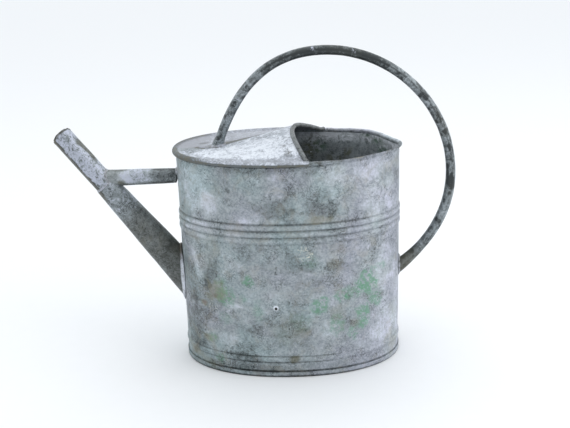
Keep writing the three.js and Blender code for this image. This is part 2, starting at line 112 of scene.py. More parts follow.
# Handle
TUBE_RADIUS = 5.8
FOOT = (-85.0, 266.0)
FOOT_LEAN = math.radians(19)
CROWN = (46.0, 380.0)
BACK = (197.7, 225.8)
ROOT = (135.0, 107.3)
ROOT_RISE = math.radians(39)
FOOT_REACH = 64
CROWN_REACHES = (75, 81)
BACK_REACHES = (85, 60)
ROOT_REACH = 32.5
FOOT_FLARE = 0.35
FOOT_FLARE_LENGTH = 14
ROOT_FLARE = 0.38
ROOT_FLARE_LENGTH = 38
STUB = 20
HANDLE_SHEET = 0.8
PAD_X = -99.4
PAD_HALF_LENGTH = 8.2
PAD_HALF_WIDTH = 5.2

# Spout and brace
SPOUT_RISE = math.radians(52.5)
SPOUT_ROOT = np.array([-135.0, 0.0, 107.0])
SPOUT_WAY = np.array([-math.cos(SPOUT_RISE), 0.0, math.sin(SPOUT_RISE)])
SPOUT_UP = np.array([math.sin(SPOUT_RISE), 0.0, math.cos(SPOUT_RISE)])
CONE_LENGTH = 146.0
CONE_TOP_RADIUS = 13.6
ROOT_RADIUS = 20.35
ROOT_HALF_WIDTH = 15.5
TIP_RADIUS = 12.6
TIP_END = 225.0
TIP_SKEW = 5.2
TIP_SLANT = 2.6
TIP_SUNK = 11
BRACE_FROM = SPOUT_ROOT + 156.55 * SPOUT_WAY
BRACE_TO = np.array([-135.0, 0.0, 232.6])
BRACE_SPOUT_RADIUS = 10.3
BRACE_BODY_RADIUS = 8.9
BRACE_MIDDLE = 60.0
ACROSS = np.array([0, 1.0, 0])

# How many points go round each piece and along it
WALL_COLUMNS = 280
PAN_COLUMNS = 240
HOOD_ROWS = 110
HOOD_HALF = 36
HEM_POINTS = 60
HEM_SIDES = 14
HANDLE_SIDES = 40
HANDLE_RINGS = 420
CONE_SIDES = 64
CONE_RINGS = 90
TIP_SIDES = 96
TIP_RINGS = 80
BRACE_SIDES = 56
BRACE_RINGS = 50
PAD_SIDES = 72
PAD_RINGS = 12

# The angles, in degrees, past which an edge is drawn hard
TUBE_SHARP = 50
SOLDER_SHARP = 60

# Camera, from the perspective that was fitted to the photograph: turned, tipped and rolled in degrees
CAMERA_TURNS = (-1.287, 18.31, -1.817)
CAMERA_PLACE = (18.157 + BODY_MIDDLE, -1052.721, 527.746)
CAMERA_LENS = 56.52
SENSOR_WIDTH = 36.0

# Floor, a little below the can so that the two don't touch, in metres
FLOOR_LEVEL = -0.0002


def metres(name, description, default):
    return FloatProperty(name=name, description=description, default=default, unit="LENGTH")


def watts(name, description, default):
    return FloatProperty(name=name, description=description, default=default, unit="POWER")


def brightness(name, description, default):
    return FloatProperty(name=name, description=description, default=default)


def swatch(name, description, default):
    return FloatVectorProperty(
        name=name, description=description, default=default, subtype="COLOR", size=3, min=0.0, max=1.0
    )


class ShapeSettings(bpy.types.PropertyGroup):
    """How worn and how lumpy the sheet metal is."""

    rib_rise: metres("Rib rise", "How far each pressed rib stands out from the wall", 0.0015)
    bead_rise: metres("Bead rise", "How far the bead above the foot stands out", 0.0012)
    sheet_ripple: metres("Sheet ripple", "How uneven the beaten sheet is", 0.00045)
    rim_crumple: metres("Rim crumple", "How far the bent rim wanders on the far side", 0.0015)
    solder_lumps: FloatProperty(
        name="Solder lumps",
        description="How uneven the solder is, as a share of its size",
        default=0.3,
        subtype="FACTOR",
        min=0.0,
        max=1.0,
    )
    tip_rag: metres("Ragged tip", "How ragged the spout's cut edge is", 0.0006)


class FinishSettings(bpy.types.PropertyGroup):
    """The colours of the weathered zinc and of what has settled on it."""

    zinc_light: swatch("Zinc, light", "Oxidised zinc where it is pale", (0.415, 0.455, 0.485))
    zinc_middle: swatch("Zinc, middle", "Oxidised zinc over most of the body", (0.27, 0.305, 0.325))
    zinc_dark: swatch("Zinc, dark", "Oxidised zinc where it is dark", (0.142, 0.160, 0.167))
    tarnish: swatch("Tarnish", "Nearly black metal under the zinc", (0.035, 0.042, 0.044))
    frost: swatch("Pale film", "The palest oxide on the body", (0.60, 0.64, 0.70))
    frost_white: swatch("Frost", "White bloom of zinc oxide on the hood", (0.76, 0.80, 0.86))
    bloom: swatch("Bloom", "Lilac white bloom on the spout", (0.51, 0.54, 0.64))
    lilac: swatch("Lilac film", "Brownish lilac film on the hood's edge", (0.36, 0.36, 0.41))
    green_cast: swatch("Green cast", "What turns zinc towards blue green", (0.91, 1.0, 0.985))
    lilac_cast: swatch("Lilac cast", "What turns zinc towards lilac grey", (1.0, 0.96, 1.03))
    edge_cast: swatch("Edge cast", "What turns rubbed edges towards brown", (1.0, 0.90, 0.84))
    verdigris: swatch("Green paint", "Traces of old green paint", (0.14, 0.32, 0.21))
    moss: swatch("Moss", "Green growth inside the mouth", (0.05, 0.11, 0.065))
    inside_brown: swatch("Inside brown", "Brown growth inside the mouth", (0.11, 0.11, 0.06))
    beige: swatch("Beige film", "Thin brownish film on the body", (0.34, 0.32, 0.265))
    olive: swatch("Olive stain", "Yellow brown stains", (0.27, 0.25, 0.13))
    tube_olive: swatch("Dark olive", "Stains on spout, brace and handle", (0.14, 0.135, 0.10))
    rust: swatch("Rust", "Rust spots", (0.19, 0.125, 0.08))
    scratch: swatch("Scratches", "Fresh scratches", (0.66, 0.66, 0.58))
    solder_grey: swatch("Solder", "Dull solder", (0.27, 0.28, 0.29))
    wire_brown: swatch("Wire", "Old steel wire", (0.09, 0.075, 0.05))


class StageSettings(bpy.types.PropertyGroup):
    """The floor and the studio light."""

    floor_colour: swatch("Floor", "The pale floor", (0.90, 0.91, 0.93))
    sky_colour: swatch("Sky", "The studio's even light", (0.95, 0.98, 1.0))
    sky_front: brightness("Sky, front", "Brightness of the even light on the camera's side", 0.55)
    sky_back: brightness("Sky, back", "Brightness of the even light at the sides and behind", 1.15)
    key_power: watts("Key light", "Power of the large soft light at the right", 14.0)
    top_power: watts("Top light", "Power of the soft light overhead", 4.0)


# Numbers


def clamp01(t):
    return np.clip(t, 0.0, 1.0)


def smooth(t):
    """The S-curve t squared times (3 minus 2t), which leaves 0 and reaches 1 level."""
    t = clamp01(t)
    return t * t * (3 - 2 * t)


def step(value, low, high):
    """0 below low, 1 above high, and an S-curve between."""
    return smooth((value - low) / (high - low))


def bell(value, middle, reach):
    """1 at the middle, falling along an S-curve to 0 at reach on either side."""
    return smooth(1 - np.abs(value - middle) / reach)


def grain(points, size, seed=0):
    """Smooth random unevenness from -1 to 1: a fixed random number at each corner of a cubic lattice of
    that size, blended between the eight corners round a point with S-curve weights."""
    spots = np.asarray(points, float) / size
    corner = np.floor(spots).astype(np.int64)
    share = spots - corner
    share = share * share * (3 - 2 * share)
    total = np.zeros(spots.shape[:-1])
    for offset in np.ndindex(2, 2, 2):
        at = corner + np.array(offset)
        spread = at * np.array([73856093, 19349663, 83492791])
        mixed = spread[..., 0] ^ spread[..., 1] ^ spread[..., 2] ^ (seed * 2654435761)
        mixed = (mixed ^ (mixed >> 13)) * 1274126177 & 0x7FFFFFFF
        mixed = (mixed ^ (mixed >> 16)) * 1103515245 & 0x7FFFFFFF
        weight = np.prod(np.where(np.array(offset) == 1, share, 1 - share), axis=-1)
        total += weight * (mixed / 0x3FFFFFFF - 1)
    return total


def halve(function, low, high, like=0.0):
    """Where a function crosses 0 between two bounds, for each number of an array, by halving the interval
    40 times; it is below 0 at low."""
    low, high = low + np.zeros_like(like), high + np.zeros_like(like)
    for _ in range(40):
        middle = (low + high) / 2
        below = function(middle) < 0
        low = np.where(below, middle, low)
        high = np.where(below, high, middle)
    return (low + high) / 2


def unit(vectors):
    return vectors / np.maximum(np.linalg.norm(vectors, axis=-1, keepdims=True), 1e-12)


def round_turn(count):
    """Angles evenly round a full turn, from 0."""
    return 2 * np.pi * np.arange(count) / count


def unrolled(distance, around, radius):
    """A place that grain can read for each point of a tube: the distance along it and a circle round it."""
    return np.stack(np.broadcast_arrays(distance, radius * np.cos(around), radius * np.sin(around)), -1)


def square_way(around, up):
    """The way out of a tube at each angle round it: up at 0 and +Y at a quarter turn."""
    return np.cos(around)[..., None] * up + np.sin(around)[..., None] * ACROSS


def lap_seam(around, before, rise, fade, groove, width):
    """How far a lap seam stands out, that far before angle 0: the sheet's edge stands out by the rise and
    sinks back as e to the minus angle over fade, behind a groove shaped as a bell curve."""
    past = np.mod(around + before, 2 * np.pi)
    return rise * np.exp(-past / fade) - groove * np.exp(-((past - 2 * np.pi) / width) ** 2)


# The oval and its damage


def oval(angle, offset):
    """x and y on a superellipse: half length times |cos| to 2/2.13, half width times |sin| to 2/2.13,
    each with its sign, where both halves are an offset larger."""
    power = 2 / FULLNESS
    along, across = np.cos(angle), np.sin(angle)
    x = (HALF_LENGTH + offset) * np.sign(along) * np.abs(along) ** power
    y = (HALF_WIDTH + offset) * np.sign(across) * np.abs(across) ** power
    return x, y


def outside(points, offset):
    """Above 0 outside the oval grown by that offset, and below 0 inside it."""
    x = np.abs(points[..., 0]) / (HALF_LENGTH + offset)
    y = np.abs(points[..., 1]) / (HALF_WIDTH + offset)
    return x**FULLNESS + y**FULLNESS - 1


def wall_way(points):
    """The level unit vector that points straight out of the wall: the slope of the superellipse."""
    x, y = points[..., 0], points[..., 1]
    out_x = np.sign(x) * np.abs(x / HALF_LENGTH) ** (FULLNESS - 1) / HALF_LENGTH
    out_y = np.sign(y) * np.abs(y / HALF_WIDTH) ** (FULLNESS - 1) / HALF_WIDTH
    return unit(np.stack([out_x, out_y, np.zeros_like(out_x)], -1))


def half_width(x, inset):
    share = np.minimum(np.abs(x) / (HALF_LENGTH - inset), 1)
    return (HALF_WIDTH - inset) * (1 - share**FULLNESS) ** (1 / FULLNESS)


def push(angle, height):
    """How far the wall is pushed across: half sine waves over the open half of the rim that fade out
    downwards, and a shallow dent on the near side that fades out all round."""
    degrees = np.degrees(angle)
    fade = step(height, NECK_FROM - PUSH_FADE, NECK_FROM)
    near = NEAR_PUSH * np.sin(np.pi * clamp01(1 - degrees / NEAR_PUSH_FROM))
    far = -FAR_PUSH * np.sin(np.pi * clamp01(degrees / FAR_PUSH_TO))
    bulge = FAR_BULGE * np.sin(np.pi * clamp01((degrees - FAR_BULGE_FROM) / FAR_BULGE_SPAN))
    dent = DENT_DEPTH * bell(degrees, DENT_ANGLE, DENT_SPREAD) * bell(height, DENT_HEIGHT, DENT_REACH)
    return (near + far + bulge) * fade + dent


# Creases in the near side: how far each stands out, its two ends in x and height, and how wide it is
CREASES = (
    (-0.9, (-108.0, 146.0), (-92.0, 70.0), 7.0),
    (0.7, (-101.0, 165.0), (-68.0, 108.0), 10.0),
    (-1.1, (8.0, 36.0), (54.0, 42.5), 9.0),
)
# Dents and bumps there: how far each stands out, and its middle and reach in x and in height
DENTS = ((0.9, 4.0, 13.0, 24.0, 7.0), (-0.8, 70.0, 22.0, 31.0, 16.0))


def creased(x, height, start, end, width):
    """1 on a straight line between two places on the near side, fading over the width and towards both
    ends."""
    start, end = np.array(start), np.array(end)
    way = end - start
    share = ((x - start[0]) * way[0] + (height - start[1]) * way[1]) / (way @ way)
    away = np.abs((x - start[0]) * way[1] - (height - start[1]) * way[0]) / np.linalg.norm(way)
    return smooth(1 - away / width) * smooth(1.2 - np.abs(2 * share - 1) * 1.2)


def knocks(angle, height, x, near_side, shape):
    """How far the sheet stands out or in from its true shape: an even ripple, a few knocks and the
    crumpled rim."""
    degrees = np.degrees(angle)
    wrapped = np.stack([x, np.cos(angle) * 40 + np.sin(angle) * 60, height], -1)
    ripple = grain(wrapped, 46.0, 3) + 0.45 * grain(wrapped, 17.0, 5)
    out = shape.sheet_ripple * 1000 * ripple * step(height, 8, 20) * (1 - step(height, 250, 262))
    for depth, *ridge_shadow_and_film in CREASES:
        out += near_side * depth * creased(x, height, *ridge_shadow_and_film)
    for depth, x_middle, x_reach, z_middle, z_reach in DENTS:
        out += near_side * depth * bell(x, x_middle, x_reach) * bell(height, z_middle, z_reach)
    rim = step(height, 248, 262)
    crumpled = step(degrees, 6, 16) * (1 - step(degrees, 66, 76))
    buckle = grain(np.stack([degrees * 1.3, height * 0.5, 0 * degrees], -1), 6.0, 11)
    out += rim * shape.rim_crumple * 1000 * crumpled * buckle
    seam = bell(degrees, SEAM_ANGLE, 3.4)
    out += 0.7 * smooth(seam * 3) * (1 - step(height, 255, 259))
    return out


def on_body(angle, offset, height, shape):
    """Points of the body: the oval grown by an offset, with the push and the knocks added."""
    angle, offset, height = np.broadcast_arrays(angle, offset, height)
    x, y = oval(angle, 0.0)
    knock = knocks(angle, height, x, y < 0, shape)
    x, y = oval(angle, offset + knock)
    return np.stack([x, y + push(angle, height), height + np.zeros_like(x)], -1)


def hood_rise(x, y):
    """The hood's height above its flat edge: a ridge that climbs evenly from the handle's foot to the
    mouth, times 1 minus the share of the half width to a power that grows from sharp to round."""
    along = clamp01((x - RIDGE_FROM) / (MOUTH_MIDDLE - RIDGE_FROM))
    blunt = RIDGE_BLUNT * along * (y > 0)
    reach = np.hypot(np.maximum(half_width(x, MOAT), 1e-6), blunt) - blunt
    share = np.minimum((np.hypot(y, blunt) - blunt) / reach, 1)
    roundness = np.where(y < 0, 2.6, 1.3)
    return RIDGE_RISE * along * (1 - share ** (1.05 + (roundness - 1.05) * along**2))


def mouth_x(y):
    """The mouth's edge seen from above: two parabolas that meet where they are level, the far one a
    little flatter."""
    from_skew = y - MOUTH_SKEW
    return MOUTH_MIDDLE + np.where(from_skew < 0, MOUTH_CURVE, MOUTH_FAR_CURVE) * from_skew**2


# What weather and work have left on the surfaces, with some painted light and shade among it

# The marks are placed one by one. Each is an oval: its middle and its two half sizes in millimetres, its
# turn in degrees and its strength
# The darker patches low on the near side's left, from x -123 to -93 and 56 to 124 mm high, are painted
# shade over the dent
WALL_TONES = (
    (-106, 232, 20, 30, 0, 0.19), (-88, 215, 12, 15, 0, 0.1), (-49, 198, 9, 3, 0, 0.22),
    (-15, 251, 8, 4, 20, 0.16), (-31, 244, 6, 4, 0, 0.14), (48, 251, 18, 9, 10, 0.14),
    (55, 238, 20, 9, 5, 0.12), (105, 210, 18, 20, 0, 0.15), (102, 253, 23, 14, 15, 0.17),
    (14, 217, 12, 16, 0, 0.12), (-71, 146, 14, 16, 0, 0.16), (-111, 131, 4, 21, 14, 0.24),
    (-70, 90, 8, 5, 0, 0.22), (-34, 109, 26, 18, 0, 0.08), (109, 126, 14, 27, 0, 0.16),
    (110, 60, 16, 25, 0, 0.2), (-78, 44, 11, 10, 0, 0.16), (41, 57, 8, 10, 0, 0.12),
    (-64, 177, 9, 9, 0, 0.14), (-104, 184, 18, 10, -18, 0.12), (52, 151, 6, 4, 0, 0.16),
    (120, 220, 8, 25, 0, 0.06), (-121, 226, 4, 37, 0, 0.1), (128, 73, 5, 62, 0, 0.08),
    (19, 185, 19, 4, 0, 0.06), (-16, 213, 21, 11, 0, -0.2), (1, 230, 6, 18, 5, -0.14),
    (32, 211, 19, 10, -5, -0.2), (26, 256, 16, 4, 25, -0.12), (-53, 258, 37, 4, -4, -0.12),
    (15, 261, 35, 4, 2, -0.1), (-68, 233, 3, 4, 20, -0.3), (-123, 120, 9, 37, 5, -0.2),
    (-97, 124, 8, 25, -22, -0.22), (-118, 56, 14, 34, 0, -0.18), (-93, 94, 15, 22, -15, -0.12),
    (-4, 60, 35, 21, 0, -0.15), (21, 141, 9, 6, 0, -0.18), (54, 140, 12, 7, 0, -0.16),
    (-1, 145, 14, 15, 0, -0.1), (54, 83, 12, 10, 0, -0.08), (76, 63, 6, 4, 0, -0.16),
    (3, 24, 7, 5, 0, -0.34), (-55, 25, 23, 5, -6, -0.22), (-50, 9, 40, 5, -4, -0.12),
    (112, 234, 9, 11, 0, -0.1), (128, 228, 4, 15, 0, -0.12), (54, 181, 14, 7, 0, -0.08),
    (-45, 72, 6, 5, 0, -0.12), (-108, 29, 16, 10, -15, -0.1), (38, 174, 30, 4, 0, -0.08),
    (-57, 169, 14, 6, 0, -0.06), (26, 238, 24, 20, 0, -0.07), (-20, 12, 90, 7, 0, -0.1),
)
GREEN_MARKS = (
    (-50, 122, 8, 7, 0, 1.0), (-58, 101, 4, 5, 0, 0.8), (-41, 84, 8, 11, 0, 0.4), (34, 93, 12, 10, 0, 1.0),
    (58, 99, 8, 6, 0, 0.8), (55, 65, 9, 11, 0, 0.65), (93, 114, 11, 15, -10, 1.0), (102, 91, 8, 13, 0, 0.8),
    (86, 73, 8, 17, -8, 1.0), (73, 51, 5, 11, 30, 0.7), (105, 130, 9, 4, 0, 0.5),
    (68, 104, 16, 10, 0, 0.55), (-83, 118, 7, 7, 0, 0.4), (-80, 101, 12, 13, 0, 0.85),
    (-97, 43, 6, 5, 0, 0.9), (-87, 19, 7, 6, 0, 0.5), (-80, 73, 9, 10, 0, 0.3), (10, 72, 12, 12, 0, 0.2),
    (24, 148, 9, 7, 0, 0.3),
)
STAIN_MARKS = (
    (-105, 87, 4, 4, 0, 1.0), (-88, 104, 10, 13, -15, 0.7), (-97, 97, 8, 6, 0, 0.5),
    (35, 198, 11, 4, 4, 0.7), (-98, 42, 8, 6, 0, 0.4), (-105, 43, 6, 5, 0, 0.4), (-2, 62, 23, 17, 0, 0.22),
    (3, 24, 7, 5, 0, 0.6), (124, 17, 6, 11, 0, 0.45), (-60, 99, 4, 5, 0, 0.2), (76, 65, 6, 5, 0, 0.35),
    (54, 83, 9, 9, 0, 0.3), (54, 143, 9, 6, 0, 0.3), (-116, 16, 23, 6, -25, 0.35), (83, 267, 8, 2, 10, 0.8),
    (-97, 151, 11, 25, -20, 0.2),
)
HOOD_TONES = (
    (-104, 20, 9, 4, 55, -0.25), (-98, -4, 9, 6, 0, -0.3), (-20, 8, 14, 14, 0, 0.05),
    (2, -66, 5, 9, 20, -0.22), (-3, -52, 3, 6, 0, -0.18), (-60, -30, 26, 12, -20, 0.14),
    (-40, -62, 34, 8, -5, 0.16), (-117, -12, 10, 14, 0, -0.05), (-60, 30, 30, 14, 10, -0.06),
    (-92, 9, 5, 4, 0, -0.35), (-105, 2, 6, 3, 30, -0.3), (-10, -82, 9, 4, 0, -0.2),
)
# Inside, each mark is its middle and its two half sizes
INSIDE_GREENS = ((112, 258, 13, 9), (100, 262, 10, 6), (120, 246, 12, 10), (40, 244, 16, 12))
INSIDE_STAINS = ((78, 236, 13, 12), (60, 228, 20, 12), (28, 240, 18, 24))


def marked(across, up, marks, uneven):
    """The sum of oval marks. Each is its strength times an S-curve that falls from 1 to 0 while the
    distance from its middle, in its own half sizes and turned with it, grows from 0.7 to 1.3, with an
    uneven amount added."""
    marks = np.array(marks, float)
    turn = np.radians(marks[:, 4])
    aside = across[..., None] - marks[:, 0]
    above = up[..., None] - marks[:, 1]
    first = (aside * np.cos(turn) + above * np.sin(turn)) / marks[:, 2]
    second = (above * np.cos(turn) - aside * np.sin(turn)) / marks[:, 3]
    away = np.hypot(first, second) + uneven[..., None]
    return (marks[:, 5] * smooth((1.3 - away) / 0.6)).sum(-1)


def ragged(points):
    """An uneven amount for the edges of marks, from two sizes of grain."""
    return 0.45 * grain(points, 10.0, 7) + 0.35 * grain(points, 4.5, 8)


def wear_and_shade(tone, second=0.0, third=0.0):
    """Three amounts in one array: a tone, paler above 0 and darker below, and two more that the finish
    names."""
    return np.stack(np.broadcast_arrays(tone, second, third), -1)


def wall_wear_and_shade(points):
    """Tone, green paint and stain on the wall; the tone holds painted shade low on the near side's left,
    over the dent. The unseen side repeats the seen side's marks, turned half round."""
    side = np.where(points[..., 1] < 0, 1.0, -1.0)
    x, z = points[..., 0] * side, points[..., 2]
    uneven = ragged(points)
    seam = step(np.abs(points[..., 1]), 0.0, 10.0)
    tone = marked(x, z, WALL_TONES, uneven) * seam
    tone = tone + 0.05 * step(x, 60, 120) * step(z, 190, 120)
    tone = tone - 0.05 * step(x, -60, -110) * step(z, 190, 160)
    green = marked(x, z, GREEN_MARKS, uneven) * seam * np.where(side > 0, 1.0, 0.6)
    stain = marked(x, z, STAIN_MARKS, uneven) * seam
    return wear_and_shade(tone, green, stain)


def hood_wear_and_shade(points):
    """Tone, frost and brown film on the hood: less frost on the left end and on the far slope, a brown
    lilac band along the near edge, a painted shadow with brown film that narrows from the handle's foot
    along the ridge, and painted shade on the lower outer part of the fold over the rim."""
    x, y = points[..., 0], points[..., 1]
    uneven = ragged(points)
    from_edge = half_width(x, 0.0) + y + 4 * uneven
    band = (1 - step(from_edge, 9, 19)) * step(x, -112, -90)
    end = 1 - step(x + 10 * uneven, -118, -92)
    far = step(y - 0.1 * (x + 80) + 2 * uneven, 0, 7)
    frost = 0.9 - 0.55 * band - 0.5 * end - 0.42 * far - 0.22 * step(y, -34, -4) * (1 - far)
    frost = frost + 0.5 * marked(x, y, HOOD_TONES, uneven)
    # Painted shadow along the ridge from the handle's foot, with brown film in it
    line = y - 0.14 * (x + 76)
    reach = 13 - 8 * step(x, -80, -25)
    ridge_shadow_and_film = smooth(1.2 - 1.2 * np.abs(line / reach - 0.5)) * step(x, -90, -80) * (1 - step(x, -56, -8))
    tone = marked(x, y, HOOD_TONES, uneven) - 0.6 * ridge_shadow_and_film - 0.08 * end
    edge = step(outside(points, 1.5), -0.02, 0.05)
    round_end = step(outside(points, -1.5), -0.03, 0.02) * (1 - step(x + 6 * uneven, -112, -84))
    # Painted shade on the lower outer part of the fold, all round the rim
    under = (1 - step(points[..., 2], 265.1, 266.5)) * edge
    far_edge = step(outside(points, 0.4), -0.02, 0.02) * step(y, -6, 10)
    tone = tone - 0.5 * far_edge - 0.30 * round_end - 1.3 * under
    film = (0.5 * band + 0.55 * far + 0.5 * ridge_shadow_and_film + 0.2 * end) * (1 - 0.3 * edge) * (1 - 0.8 * under)
    frost = frost - 0.6 * ridge_shadow_and_film + 0.25 * edge * (y < 0) - 0.5 * round_end - 1.1 * under
    return wear_and_shade(tone, clamp01(frost), film)


def handle_wear_and_shade(distance, around):
    """Tone, white and olive on the handle: a painted highlight along the outer side, a dark line along the
    lap seam, painted shade along the inner edge; darkest over the crown, with a row of pits down the back."""
    turned = np.mod(around, 2 * np.pi)
    # A painted highlight along the outer side, and painted shade along the inner side
    outer = bell(np.mod(around + np.pi, 2 * np.pi), np.pi, 1.15)
    inner = bell(around, np.pi, 1.3)
    lap = bell(np.mod(around + 1.32 + np.pi, 2 * np.pi), np.pi, 0.3)
    spot = unrolled(distance, around, 9)
    crown = step(distance, 104, 150) * (1 - step(distance, 240, 300))
    back = step(distance, 290, 330) * (1 - step(distance, 440, 470))
    rear = step(distance, 520, 556)
    tone = 0.02 - 0.42 * crown - 0.10 * rear - 0.07 * back
    # The painted highlight and the painted shade, both stronger over the crown
    tone = tone + outer * (0.10 + 0.16 * crown) - inner * (0.16 + 0.22 * crown + 0.15 * rear)
    tone = tone - lap * (0.12 + 0.26 * crown)
    pits = step(grain(spot, 6.0, 141), 0.1, 0.4) * bell(turned, 4.9, 0.75)
    tone = tone - 0.7 * pits * back - 0.6 * bell(distance, 435, 10) * bell(turned, 4.9, 0.9)
    tone = tone - 0.34 * step(grain(spot, 6.5, 142), 0.2, 0.45) * (1 - crown)
    white = bell(distance, 174, 5) + 0.8 * bell(distance, 222, 7)
    white = white + 0.35 * step(grain(spot, 11.0, 143), 0.35, 0.6)
    front = 1 - step(distance, 90, 120)
    white = white + 0.5 * front * step(grain(spot, 8.0, 145), 0.0, 0.4)
    olive = 0.8 * rear + 0.15 * step(grain(spot, 25.0, 144), 0.2, 0.6)
    return wear_and_shade(tone, clamp01(white * bell(turned, 5.3, 1.2)), olive)


def spout_wear(distance, around):
    """Tone, lilac bloom and olive on the spout: pale with bloom from the end down to 105 mm, then darker
    towards the root, with an olive strip and a dark seam low on the near side and a brown strip on the
    upper side of the tip."""
    across = np.cos(around)
    near = step(-np.sin(around), -0.25, 0.1)
    spot = unrolled(distance, around, 13)
    uneven = grain(spot, 9.0, 151) + 0.6 * grain(spot, 4.0, 152)
    tip = step(distance + 7 * uneven, 92, 118)
    root = 1 - step(distance + 9 * uneven, 16, 92)
    on_tip_only = step(distance, 122, 140)
    tone = 0.15 * tip - 0.08 - 0.13 * root - 0.10 * bell(distance, 30, 26) * step(across, 0.2, 0.8)
    strip = near * (1 - step(across + 0.12 * uneven, -0.66, -0.40)) * on_tip_only
    seam = near * bell(across + 0.05 * uneven, -0.52, 0.13) * step(distance, 110, 135)
    streaks = sum(bell(distance + 3 * uneven, at, 7) for at in (158, 186, 207, 218))
    tone = tone - strip * 0.30 - seam * (0.20 + 0.40 * clamp01(streaks))
    upper = step(across + 0.1 * uneven, 0.80, 0.96)
    upper = upper * step(distance, 172, 184) * (1 - step(distance, 204, 216))
    lip = step(distance - TIP_SLANT * across + TIP_SKEW * np.sin(around), TIP_END - 4.0, TIP_END - 1.2)
    ragged_lip = lip * (0.6 + 0.8 * step(uneven, -0.3, 0.3))
    tone = tone - 0.30 * upper - 0.5 * ragged_lip
    full = step(distance + 7 * uneven, 138, 160)
    bloom = (0.42 * tip + 0.58 * full) * (1 - strip) * (1 - upper) * (1 - 0.6 * lip)
    olive = 0.7 * strip + 0.6 * upper + 0.6 * lip + 0.35 * bell(distance, 62, 34) * step(uneven, -0.2, 0.5)
    olive = olive + 0.35 * bell(distance, 28, 20) * step(across, 0.3, 0.9)
    olive = olive + 0.3 * (1 - step(distance, 84, 116))
    return wear_and_shade(tone + 0.05 * uneven, clamp01(bloom), clamp01(olive))


def brace_wear(distance, around):
    """Tone, bloom and olive on the brace: yellow brown with a white patch at the spout, a whitish middle,
    and dark towards the wall and along the underside."""
    across = np.cos(around)
    spot = unrolled(distance, around, 10)
    uneven = grain(spot, 7.0, 161) + 0.6 * grain(spot, 3.4, 162)
    start = 1 - step(distance + 4 * uneven, 30, 40)
    middle = step(distance + 4 * uneven, 28, 38) * (1 - step(distance + 7 * uneven, 54, 70))
    below = 1 - step(across + 0.1 * uneven, -0.75, -0.35)
    patch = bell(distance + 3 * uneven, 30, 10) * bell(across, 0.35, 0.8)
    under_patch = bell(distance, 26, 6) * bell(across, -0.35, 0.4)
    tone = 0.18 * start + 0.30 * middle - 0.13 * step(distance, 58, 76) - 0.34 * below
    tone = tone + 0.40 * patch - 0.25 * under_patch - 0.2 * step(across, 0.82, 0.97) * (1 - middle)
    bloom = clamp01(middle * (1.1 + 0.6 * uneven) + 1.2 * patch) * (1 - below)
    olive = 0.34 * start - 0.5 * patch + 0.6 * under_patch + 0.2 * below
    return wear_and_shade(tone + 0.12 * uneven, bloom, clamp01(olive))


# Meshes


def grid_parts(rows, columns, closed, along):
    """The quads of a grid of rows by columns, and their corners' coordinates: the share across and the
    distance along. A closed grid joins its last column to its first."""
    wide = columns if closed else columns - 1
    i, j = np.arange(rows - 1)[:, None], np.arange(wide)[None, :]
    after = (j + 1) % columns
    low, high = i * columns, (i + 1) * columns
    faces = np.stack(np.broadcast_arrays(low + j, low + after, high + after, high + j), -1)
    left, right = j / wide + 0 * i, (j + 1) / wide + 0 * i
    lower, upper = i / (rows - 1) + 0 * j, (i + 1) / (rows - 1) + 0 * j
    across = np.stack([left, right, right, left], -1)
    up = np.stack([lower, lower, upper, upper], -1) * along
    return faces.reshape(-1, 4), np.stack([across, up], -1).reshape(-1, 4, 2)


